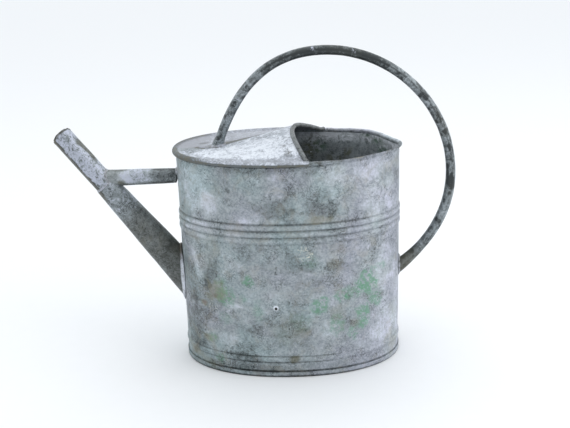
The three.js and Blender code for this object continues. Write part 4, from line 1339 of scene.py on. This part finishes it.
class Paint:
    """One material's nodes, with short calls for the kinds that the finishes are made of."""

    def __init__(self, name):
        self.material = bpy.data.materials.new(name)
        self.material.use_nodes = True
        self.tree = self.material.node_tree
        self.surface = self.tree.nodes["Principled BSDF"]
        self.place = self.tree.nodes.new("ShaderNodeTexCoord").outputs["Object"]
        self.axes = self.split(self.place)

    def put(self, target, value):
        """Links a value or an output to an input, or writes a constant there."""
        value = getattr(value, "socket", value)
        if isinstance(value, bpy.types.NodeSocket):
            self.tree.links.new(value, target)
        elif target.type == "RGBA":
            target.default_value = (*value[:3], 1.0)
        else:
            target.default_value = value

    def node(self, kind, inputs=None, **settings):
        made = self.tree.nodes.new(kind)
        for name, value in settings.items():
            setattr(made, name, value)
        for name, value in (inputs or {}).items():
            self.put(made.inputs[name], value)
        return made

    def split(self, vector):
        outputs = self.node("ShaderNodeSeparateXYZ", {"Vector": vector}).outputs
        return [Value(self, output) for output in outputs]

    def math(self, operation, first, second=0.0):
        made = self.node("ShaderNodeMath", {0: first, 1: second}, operation=operation)
        return Value(self, made.outputs[0])

    def most(self, first, *others):
        for other in others:
            first = self.math("MAXIMUM", first, other)
        return first

    def between(self, value, low, high, first=0.0, last=1.0):
        """From first to last along an S-curve as the value goes from low to high."""
        inputs = {"Value": value, "From Min": low, "From Max": high, "To Min": first, "To Max": last}
        made = self.node("ShaderNodeMapRange", inputs, interpolation_type="SMOOTHSTEP")
        return Value(self, made.outputs["Result"])

    def line(self, value, middle, half, soft=0.6):
        """1 where the value is within half of the middle, fading out over the soft share of half."""
        return self.between(abs(value - middle), half, half * (1 - soft))

    def noise(self, size, detail=4.0, roughness=0.55, warp=0.0, seed=(0, 0, 0)):
        """Cloudy noise whose patches are about size metres."""
        place = self.node("ShaderNodeMapping", {"Vector": self.place, "Location": seed}).outputs[0]
        inputs = {"Vector": place, "Scale": 1 / size, "Detail": detail, "Roughness": roughness}
        inputs["Distortion"] = warp
        return Value(self, self.node("ShaderNodeTexNoise", inputs).outputs["Fac"])

    def blend(self, share, first, second, mode="MIX"):
        made = self.node("ShaderNodeMix", {}, data_type="RGBA", blend_type=mode)
        for index, value in ((0, share), (6, first), (7, second)):
            self.put(made.inputs[index], value)
        return made.outputs[2]

    def ramp(self, value, *stops):
        """A colour that changes evenly between stops, each a position and a colour."""
        made = self.node("ShaderNodeValToRGB", {"Fac": value})
        elements = made.color_ramp.elements
        for element, (position, _) in zip(elements, (stops[0], stops[-1])):
            element.position = position
        for position, _ in stops[1:-1]:
            elements.new(position)
        for element, (_, colour) in zip(elements, stops):
            element.color = (*colour[:3], 1.0)
        return made.outputs["Color"]

    def wear_and_shade(self):
        """The three amounts of weathering and painted light that the piece's own mesh carries."""
        return self.split(self.node("ShaderNodeAttribute", attribute_name="wear_and_shade").outputs["Vector"])

    def spot(self, middle, size, turn=0.0, soft=0.6):
        """1 inside an ellipse round a place and 0 outside it, seen along Y: the distance from the middle,
        with the plane turned and each side divided by its half size. Places and sizes are in
        millimetres."""
        inputs = {
            "Vector": self.place,
            "Location": ((middle[0] + BODY_MIDDLE) / 1000, 0.0, middle[1] / 1000),
            "Rotation": (0.0, turn, 0.0),
            "Scale": (size[0] / 1000, 1e3, size[1] / 1000),
        }
        mapped = self.node("ShaderNodeMapping", inputs, vector_type="TEXTURE").outputs[0]
        away = self.node("ShaderNodeVectorMath", {0: mapped}, operation="LENGTH").outputs["Value"]
        return self.between(away, 1.0, 1.0 - soft)

    def finish(self, colour, roughness, height, depth, metal=0.35):
        """Wires the colour, roughness and a height in metres per unit into the surface."""
        bump = self.node("ShaderNodeBump", {"Height": height, "Distance": depth}).outputs[0]
        values = {"Base Color": colour, "Roughness": roughness, "Metallic": metal, "Normal": bump}
        for name, value in values.items():
            self.put(self.surface.inputs[name], value)
        return self.material


class Weather:
    """The patterns of oxidised zinc, made once for a finish: clouds, mottling, speckle, thin veins and
    flecks."""

    def __init__(self, paint, cloud=0.055, mottle=0.011, speckle=0.0028, vein=0.0075):
        between, line, noise = paint.between, paint.line, paint.noise
        self.paint = paint
        self.clouds = noise(cloud, 6.0, 0.68, warp=0.9)
        self.mottle = noise(mottle, 6.0, 0.7, warp=1.1, seed=(3, 1, 2))
        self.speckle = noise(speckle, 3.0, 0.75, seed=(7, 2, 5))
        curl = noise(vein, 4.0, 0.6, warp=1.8, seed=(2, 8, 4))
        scattered = between(noise(vein * 3.2, 2.0, 0.5, seed=(4, 4, 1)), 0.46, 0.6)
        self.veins = line(curl, 0.5, 0.032) * scattered
        drift = noise(vein * 1.5, 2.0, 0.5, warp=1.2, seed=(8, 2, 6))
        self.swirls = line(paint.math("FRACT", drift * 7.0), 0.5, 0.16, 0.8)
        self.flecks = between(noise(speckle * 1.5, 2.0, 0.6, seed=(1, 9, 4)), 0.66, 0.75)

    def tone(self, middle, clouds=0.6, mottle=0.9, speckle=0.7, swirls=0.13):
        """Around the middle: each pattern's amount times its distance from a half, less the veins, the
        swirls and the flecks."""
        total = (self.clouds - 0.5) * clouds + (self.mottle - 0.5) * mottle + (self.speckle - 0.5) * speckle
        return total + middle - (self.veins * 0.36 + self.swirls * swirls) - self.flecks * 0.26

    def height(self):
        raised = self.mottle * 0.5 + self.speckle * 0.3
        return raised - (self.flecks * 0.35 + self.veins * 0.2)

    def roughness(self, low=0.42, high=0.68):
        return self.paint.between(self.mottle, 0.3, 0.7, low, high)


def zinc_colour(paint, tone, colours):
    """The five colours of old zinc from nearly black to nearly white, at even steps of the tone."""
    stops = (colours.tarnish, colours.zinc_dark, colours.zinc_middle, colours.zinc_light, colours.frost)
    return paint.ramp(tone, *((at / 4, colour) for at, colour in enumerate(stops)))


# Heights of the wall's strips of painted shade, in metres
BEAD_EDGES = ((0.0194, 0.0022), (0.0270, 0.0015))
BAND_EDGE = 0.0076
RIM_SHADOW = 0.2628


def wall_painted_light(paint, weather):
    """Painted light on the wall: how much paler the ribs' crests are, as a painted highlight, and how much
    darker, as painted shade, the wall is beside ribs, bead and folded band, under the hood's fold and
    along the foot."""
    between, line = paint.between, paint.line
    x, _, height = paint.axes
    broken = between(weather.mottle, 0.36, 0.56, 0.45, 1.0)
    turns = (height - RIBS_FROM / 1000) / (RIB_PITCH / 1000)
    off = abs(turns - paint.math("ROUND", turns)) * (RIB_PITCH / 1000)
    strength = between(turns, -0.8, 3.4, 0.10, 0.42) * between(x, 0.168, 0.100, 0.5, 1.0)
    # Painted shade in the grooves beside the ribs, and a painted highlight on their crests
    ribs = between(off, 0.0021, 0.0002) * line(turns, 1.5, 1.9, 0.12) * strength
    crests = between(off, 0.0022, 0.0036) * line(turns, 1.5, 1.5, 0.05) * 0.07
    left_end = between(x, -0.080, -0.045, 0.45, 1.0)
    right_end = between(x, 0.160, 0.110, 0.55, 1.0)
    # Painted shade along both edges of the bead
    bead = paint.most(*(line(height, edge, reach, 0.9) for edge, reach in BEAD_EDGES))
    bead = bead * left_end * between(x, 0.098, 0.080, 0.10, 0.36)
    # Painted shade along the folded band's top edge
    band_line = line(height, BAND_EDGE, 0.0018, 0.8) * left_end * right_end * 0.5
    # Painted shadow under the hood's fold, and painted shade on the top of the wall under the hood
    covered = between(x, 0.052, 0.044, 0.35, 1.0)
    under_rim = line(height, RIM_SHADOW, 0.0020, 0.5) * covered * 0.38
    shaded = between(height, 0.250, 0.2615) * covered * 0.12
    # Painted shade along the lowest 4 mm of the foot
    under_edge = between(height, 0.0036, 0.0004) * left_end * right_end * 0.6
    return crests, (ribs + bead + band_line + under_rim + shaded) * broken + under_edge


def body_finish(colours):
    """The wall and the pan: weathered zinc with painted shade beside the ribs, the bead and the folded
    band, under the hood's fold and along the foot, painted highlights on the ribs' crests, painted light
    and shade on the open rim, green paint in flakes, stains, a few white scratches, a pinhole's dark inside
    painted as a black dot in a pale ring, and a ring mark."""
    paint = Paint("weathered_body_zinc")
    weather = Weather(paint)
    between, noise, spot = paint.between, paint.noise, paint.spot
    marks, green, stain = paint.wear_and_shade()
    x, y, height = paint.axes
    crests, painted_shade = wall_painted_light(paint, weather)
    # The open half's rolled rim: a painted highlight on the far side and painted shade on the near side
    far_lit_near_shaded = between(y, -0.002, 0.002, -0.26, 0.30)
    rim_highlight_and_shade = between(height, 0.2640, 0.2662) * between(x, 0.048, 0.060) * far_lit_near_shaded
    colour = zinc_colour(paint, weather.tone(0.64) + marks + crests + rim_highlight_and_shade - painted_shade, colours)
    lean = (noise(0.05, 3.0, 0.6, seed=(9, 3, 1)) - 0.5) * 1.6 + 0.5 + (x - BODY_MIDDLE / 1000) * 1.6
    cast = paint.ramp(lean, (0.2, colours.green_cast), (0.5, (1.0, 1.0, 1.0)), (0.8, colours.lilac_cast))
    colour = paint.blend(1.0, colour, cast, "MULTIPLY")
    film = between(noise(0.024, 6.0, 0.72, warp=0.8, seed=(2, 5, 9)), 0.50, 0.66, 0.0, 0.30)
    colour = paint.blend(film, colour, colours.beige)
    flakes = between(noise(0.0045, 4.0, 0.75, seed=(5, 5, 1)), 0.44, 0.53, 0.12, 1.0)
    colour = paint.blend(green * flakes * 0.8, colour, colours.verdigris)
    brown = paint.ramp(stain, (0.55, colours.olive), (1.0, colours.rust))
    uneven = between(weather.speckle, 0.3, 0.6, 0.5, 1.0)
    colour = paint.blend(stain * uneven * 0.6, colour, brown)
    near = between(y, 0.004, -0.004)
    strokes = paint.line(noise(0.0062, 2.0, 0.5, warp=1.4, seed=(6, 1, 7)), 0.5, 0.03, 0.5)
    scratched = paint.most(
        spot((19.2, 159.5), (13, 9), 0.3, 0.4),
        spot((-94, 83), (8, 12), 0.0, 0.5) * 0.6,
        spot((18, 153), (12, 5), 0.0, 0.5) * 0.6,
    )
    colour = paint.blend(strokes * scratched * near * 0.9, colour, colours.scratch)
    outer, inner = (spot((69.8, 31.6), (radius, radius), 0.0, 0.1) for radius in (5.2, 4.2))
    colour = paint.blend((outer - inner) * near * 0.5, colour, colours.zinc_dark)
    halo = spot((-17.8, 90.6), (3.6, 3.8), 0.0, 0.3) * near
    colour = paint.blend(halo, colour, colours.frost_white)
    # The pinhole's dark inside, painted as a nearly black dot
    dot = spot((-17.7, 89.7), (2.1, 2.3), 0.0, 0.35) * near
    colour = paint.blend(dot, colour, (0.01, 0.01, 0.01))
    return paint.finish(colour, weather.roughness(), weather.height(), 0.0005)


def inside_finish(colours):
    """The wall's inner side: nearly black with green and brown growth, with painted light in a pale band
    under the rim at the back and painted shade under the hood."""
    paint = Paint("mossy_inside_zinc")
    weather = Weather(paint, mottle=0.010)
    between = paint.between
    x, y, height = paint.axes
    edge = height + (weather.mottle - 0.5) * 0.03
    far = between(y, -0.004, 0.004)
    # Painted light on the top of the far wall, where light comes in through the mouth
    lit_band = between(edge, 0.249, 0.262) * between(x, 0.046, 0.060) * far
    # Painted shade on the inside under the hood
    hood_shade = between(x, 0.100, 0.055) * between(edge, 0.254, 0.246)
    tone = weather.tone(0.56, clouds=0.5) + lit_band * 0.20 - hood_shade * 0.16
    colour = zinc_colour(paint, tone, colours)
    growth = between(paint.noise(0.007, 5.0, 0.7, seed=(5, 5, 1)), 0.42, 0.55)
    green, brown = (paint.most(*(paint.spot(mark[:2], mark[2:], 0.0, 0.9) for mark in marks))
                    for marks in (INSIDE_GREENS, INSIDE_STAINS))
    uneven = between(weather.mottle, 0.34, 0.54, 0.35, 1.0)
    # The painted light, paled towards frost white
    colour = paint.blend(lit_band * uneven, colour, colours.frost_white)
    colour = paint.blend(green * growth * far * 0.85, colour, colours.moss)
    colour = paint.blend(brown * growth * far * 0.7, colour, colours.inside_brown)
    speck = paint.spot((29.1, 236.5), (1.2, 1.2), 0.0, 0.5) * far
    colour = paint.blend(speck, colour, colours.frost)
    return paint.finish(colour, weather.roughness(0.6, 0.85), weather.height(), 0.0007, metal=0.0)


def hood_finish(colours):
    """The hood: grey zinc under a white frost that gathers in small swirls, with a brown lilac film."""
    paint = Paint("frosted_hood_zinc")
    weather = Weather(paint, cloud=0.04, mottle=0.009, speckle=0.0026, vein=0.012)
    marks, frost, brown = paint.wear_and_shade()
    colour = zinc_colour(paint, weather.tone(0.66, clouds=0.4, mottle=0.7) + marks, colours)
    swirls = weather.mottle + weather.speckle * 0.6
    share = (swirls - 0.8) * 2.4 + frost
    pale = paint.ramp(share, (0.45, colours.bloom), (1.1, colours.frost_white))
    colour = paint.blend(paint.between(share, 0.1, 1.05), colour, pale)
    film = paint.between((swirls - 0.8) * -1.2 + brown, 0.1, 0.9)
    colour = paint.blend(film * 0.72, colour, colours.lilac)
    # Dark olive grey where the tone is low, which takes in the painted shadow along the ridge and the
    # painted shade under the fold
    darker = paint.between(marks + (weather.mottle - 0.5) * 0.6, -0.08, -0.55)
    dark = paint.ramp(weather.mottle, (0.40, colours.tube_olive), (0.56, colours.zinc_dark))
    colour = paint.blend(darker * 0.92, colour, dark)
    colour = paint.blend(weather.veins * 0.16 + weather.flecks * 0.10, colour, colours.zinc_dark)
    return paint.finish(colour, weather.roughness(0.55, 0.8), weather.height(), 0.0005, metal=0.12)


def rim_finish(colours):
    """The hood's rolled edge: brown grey, rubbed pale in places."""
    paint = Paint("rubbed_edge_zinc")
    weather = Weather(paint, cloud=0.03, mottle=0.008)
    tone = weather.tone(0.36, clouds=0.5, mottle=0.8) + paint.wear_and_shade()[0]
    colour = paint.blend(0.5, zinc_colour(paint, tone, colours), colours.edge_cast, "MULTIPLY")
    return paint.finish(colour, weather.roughness(0.4, 0.65), weather.height(), 0.0004)


def tube_finish(name, middle, colours, low=0.36, mottle=1.1):
    """Tube and cone: zinc, with a second amount of white or lilac bloom in swirls and a third of olive
    brown."""
    paint = Paint(name)
    weather = Weather(paint, cloud=0.03, mottle=0.008, speckle=0.0026, vein=0.008)
    marks, bloom, olive = paint.wear_and_shade()
    tone = weather.tone(middle, clouds=0.5, mottle=mottle, speckle=0.5, swirls=0.14) + marks
    colour = zinc_colour(paint, tone, colours)
    share = (weather.mottle - 0.5) * 4.0 + bloom
    white = paint.between(share, 0.25, 1.25) * paint.between(bloom, 0.0, 0.3)
    pale = white - (weather.veins * 0.8 + weather.flecks * 0.5 + weather.swirls * 0.7)
    colour = paint.blend(paint.between(pale, 0.0, 1.0, 0.0, 0.9), colour, colours.bloom)
    stained = olive * paint.between(weather.mottle, 0.3, 0.6, 0.5, 0.85)
    colour = paint.blend(stained, colour, colours.tube_olive)
    return paint.finish(colour, weather.roughness(low, low + 0.25), weather.height(), 0.0004)


def solder_finish(colours):
    """Soft solder: pale where it is rubbed, dark in its hollows, brown at the top of the spout's root."""
    paint = Paint("dull_solder")
    lumps = paint.noise(0.006, 5.0, 0.65, warp=0.6)
    fine = paint.noise(0.0016, 3.0, 0.6)
    share = lumps * 0.8 + fine * 0.3
    colour = paint.ramp(share, (0.36, colours.tarnish), (0.50, colours.solder_grey), (0.72, colours.bloom))
    rubbed = paint.spot((-134, 104), (16, 30), 0.0, 0.5)
    colour = paint.blend(rubbed * paint.between(share, 0.42, 0.6, 0.35, 0.95), colour, colours.frost)
    brown = paint.spot((-137, 143), (10, 13), 0.0, 0.7)
    colour = paint.blend(brown * 0.85, colour, colours.wire_brown)
    knob = paint.spot((137, 96), (8, 10))
    colour = paint.blend(knob * 0.6, colour, colours.zinc_dark)
    roughness = paint.between(fine, 0.3, 0.7, 0.35, 0.6)
    return paint.finish(colour, roughness, lumps + fine * 0.4, 0.0005, metal=0.4)


def wire_finish(colours):
    paint = Paint("brown_wire")
    scale = paint.noise(0.003, 4.0, 0.6)
    colour = paint.blend(paint.between(scale, 0.3, 0.7), colours.wire_brown, colours.rust)
    return paint.finish(colour, paint.between(scale, 0.3, 0.7, 0.6, 0.85), scale, 0.0002, metal=0.4)


FINISHES = {
    "weathered_body_zinc": body_finish,
    "mossy_inside_zinc": inside_finish,
    "frosted_hood_zinc": hood_finish,
    "rubbed_edge_zinc": rim_finish,
    "worn_handle_zinc": lambda colours: tube_finish("worn_handle_zinc", 0.45, colours, 0.34, 1.7),
    "dull_spout_zinc": lambda colours: tube_finish("dull_spout_zinc", 0.42, colours),
    "lilac_tip_zinc": lambda colours: tube_finish("lilac_tip_zinc", 0.44, colours),
    "dull_solder": solder_finish,
    "brown_wire": wire_finish,
}


def finish_named(context, name):
    """The material of that name, made the first time it is asked for."""
    return bpy.data.materials.get(name) or FINISHES[name](context.scene.can_finish)


# Operators


class Undoable:
    """Every operator here is listed and can be undone."""

    bl_options = {"REGISTER", "UNDO"}


class MESH_OT_can_body(Undoable, bpy.types.Operator):
    """Build the ribbed oval wall, the folded pan and the wire in the rim."""

    bl_idname = "mesh.can_body"
    bl_label = "Body"

    def execute(self, context):
        shape = context.scene.can_shape
        zinc = finish_named(context, "weathered_body_zinc")
        make_wall(shape, zinc, finish_named(context, "mossy_inside_zinc"))
        make_pan(shape, zinc)
        make_rim_wire(shape, finish_named(context, "brown_wire"))
        return {"FINISHED"}


class MESH_OT_can_hood(Undoable, bpy.types.Operator):
    """Build the ridged half cover, its hem and the wire in the hem."""

    bl_idname = "mesh.can_hood"
    bl_label = "Hood"

    def execute(self, context):
        rubbed = finish_named(context, "rubbed_edge_zinc")
        make_hood(context.scene.can_shape, finish_named(context, "frosted_hood_zinc"), rubbed)
        make_mouth_wire(finish_named(context, "brown_wire"))
        return {"FINISHED"}


class MESH_OT_can_handle(Undoable, bpy.types.Operator):
    """Build the tube handle."""

    bl_idname = "mesh.can_handle"
    bl_label = "Handle"

    def execute(self, context):
        make_handle(finish_named(context, "worn_handle_zinc"))
        return {"FINISHED"}


class MESH_OT_can_spout(Undoable, bpy.types.Operator):
    """Build the spout's lower cone and its straight tip."""

    bl_idname = "mesh.can_spout"
    bl_label = "Spout"

    def execute(self, context):
        make_cone(finish_named(context, "dull_spout_zinc"))
        make_tip(context.scene.can_shape, finish_named(context, "lilac_tip_zinc"))
        return {"FINISHED"}


class MESH_OT_can_brace(Undoable, bpy.types.Operator):
    """Build the brace between the spout and the body."""

    bl_idname = "mesh.can_brace"
    bl_label = "Brace"

    def execute(self, context):
        make_brace(finish_named(context, "dull_spout_zinc"))
        return {"FINISHED"}


class MESH_OT_can_solder(Undoable, bpy.types.Operator):
    """Build the six beads of solder."""

    bl_idname = "mesh.can_solder"
    bl_label = "Solder"

    def execute(self, context):
        shape = context.scene.can_shape
        solder = finish_named(context, "dull_solder")
        for make in SOLDERS:
            make(shape, solder)
        return {"FINISHED"}


class SCENE_OT_can_stage(Undoable, bpy.types.Operator):
    """Set the pale floor, the soft studio light and the camera."""

    bl_idname = "scene.can_stage"
    bl_label = "Stage"

    def execute(self, context):
        stage = context.scene.can_stage
        floor_mesh = bpy.data.meshes.new("floor")
        corners = [(x, y, FLOOR_LEVEL) for x, y in ((-9, -9), (9, -9), (9, 9), (-9, 9))]
        floor_mesh.from_pydata(corners, [], [(0, 1, 2, 3)])
        floor = bpy.data.objects.new("floor", floor_mesh)
        context.scene.collection.objects.link(floor)
        paint = Paint("pale_floor")
        weave = paint.noise(0.02, 3.0, 0.5)
        colour = paint.blend(weave * 0.06, stage.floor_colour, (0.7, 0.7, 0.7))
        paint.finish(colour, paint.between(weave, 0.2, 0.8, 0.75, 0.9), weave, 0.0002, metal=0.0)
        floor_mesh.materials.append(paint.material)
        context.scene.world = studio_sky(stage)
        soft_light(context, "key", (2.0, -0.7, 1.2), (0.02, 0, 0.12), 1.6, stage.key_power)
        soft_light(context, "top", (-0.2, 0.2, 1.8), (0.0, 0, 0.2), 1.4, stage.top_power)
        camera_data = bpy.data.cameras.new("camera")
        camera_data.lens = CAMERA_LENS
        camera_data.sensor_width = SENSOR_WIDTH
        camera_data.clip_end = 50.0
        camera = bpy.data.objects.new("camera", camera_data)
        context.scene.collection.objects.link(camera)
        camera.matrix_world = photo_view()
        context.scene.camera = camera
        context.scene.view_settings.view_transform = "Standard"
        return {"FINISHED"}


def studio_sky(stage):
    """Even light that is dimmer on the camera's side than at the sides, behind and above."""
    world = bpy.data.worlds.new("studio")
    world.use_nodes = True
    tree = world.node_tree
    way = tree.nodes.new("ShaderNodeTexCoord")
    axes = tree.nodes.new("ShaderNodeSeparateXYZ")
    share = tree.nodes.new("ShaderNodeMapRange")
    share.interpolation_type = "SMOOTHSTEP"
    values = {"From Min": -0.9, "From Max": -0.1, "To Min": stage.sky_front, "To Max": stage.sky_back}
    for name, value in values.items():
        share.inputs[name].default_value = value
    background = tree.nodes["Background"]
    background.inputs["Color"].default_value = (*stage.sky_colour, 1)
    tree.links.new(way.outputs["Generated"], axes.inputs["Vector"])
    tree.links.new(axes.outputs["Y"], share.inputs["Value"])
    tree.links.new(share.outputs["Result"], background.inputs["Strength"])
    return world


def soft_light(context, name, place, target, size, power):
    """A square area light of that size in metres that faces the target."""
    data = bpy.data.lights.new(name, "AREA")
    data.shape = "SQUARE"
    data.size = size
    data.energy = power
    light = bpy.data.objects.new(name, data)
    way = Vector(target) - Vector(place)
    light.matrix_world = Matrix.Translation(place) @ way.to_track_quat("-Z", "Y").to_matrix().to_4x4()
    context.scene.collection.objects.link(light)


def photo_view():
    """The camera's place and turn: it looks along +Y, turned left, tipped down and rolled by its three
    angles."""
    turned, tipped, rolled = (math.radians(angle) for angle in CAMERA_TURNS)
    level_reach = math.cos(tipped)
    forward = Vector((math.sin(turned) * level_reach, math.cos(turned) * level_reach, -math.sin(tipped)))
    level = forward.cross(Vector((0, 0, 1))).normalized()
    upright = level.cross(forward)
    right = math.cos(rolled) * level + math.sin(rolled) * upright
    up = math.cos(rolled) * upright - math.sin(rolled) * level
    turn = Matrix((right, up, -forward)).transposed().to_4x4()
    return Matrix.Translation(Vector(CAMERA_PLACE) / 1000) @ turn


class VIEW3D_PT_watering_can(bpy.types.Panel):
    """Lists the pieces and their settings."""

    bl_label = "Watering can"
    bl_space_type = "VIEW_3D"
    bl_region_type = "UI"
    bl_category = "Watering can"

    def draw(self, context):
        column = self.layout.column()
        for operator in OPERATORS:
            column.operator(operator.bl_idname)
        for settings in (context.scene.can_shape, context.scene.can_finish, context.scene.can_stage):
            box = self.layout.box()
            for name in settings.__annotations__:
                box.prop(settings, name)


SETTINGS = (ShapeSettings, FinishSettings, StageSettings)
OPERATORS = (
    MESH_OT_can_body,
    MESH_OT_can_hood,
    MESH_OT_can_handle,
    MESH_OT_can_spout,
    MESH_OT_can_brace,
    MESH_OT_can_solder,
    SCENE_OT_can_stage,
)


def register():
    for each in (*SETTINGS, *OPERATORS, VIEW3D_PT_watering_can):
        bpy.utils.register_class(each)
    bpy.types.Scene.can_shape = PointerProperty(type=ShapeSettings)
    bpy.types.Scene.can_finish = PointerProperty(type=FinishSettings)
    bpy.types.Scene.can_stage = PointerProperty(type=StageSettings)


def unregister():
    del bpy.types.Scene.can_stage
    del bpy.types.Scene.can_finish
    del bpy.types.Scene.can_shape
    for each in reversed((*SETTINGS, *OPERATORS, VIEW3D_PT_watering_can)):
        bpy.utils.unregister_class(each)


def main():
    """Registers the add-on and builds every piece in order."""
    register()
    bpy.ops.mesh.can_body()
    bpy.ops.mesh.can_hood()
    bpy.ops.mesh.can_handle()
    bpy.ops.mesh.can_spout()
    bpy.ops.mesh.can_brace()
    bpy.ops.mesh.can_solder()
    bpy.ops.scene.can_stage()


if __name__ == "__main__":
    main()
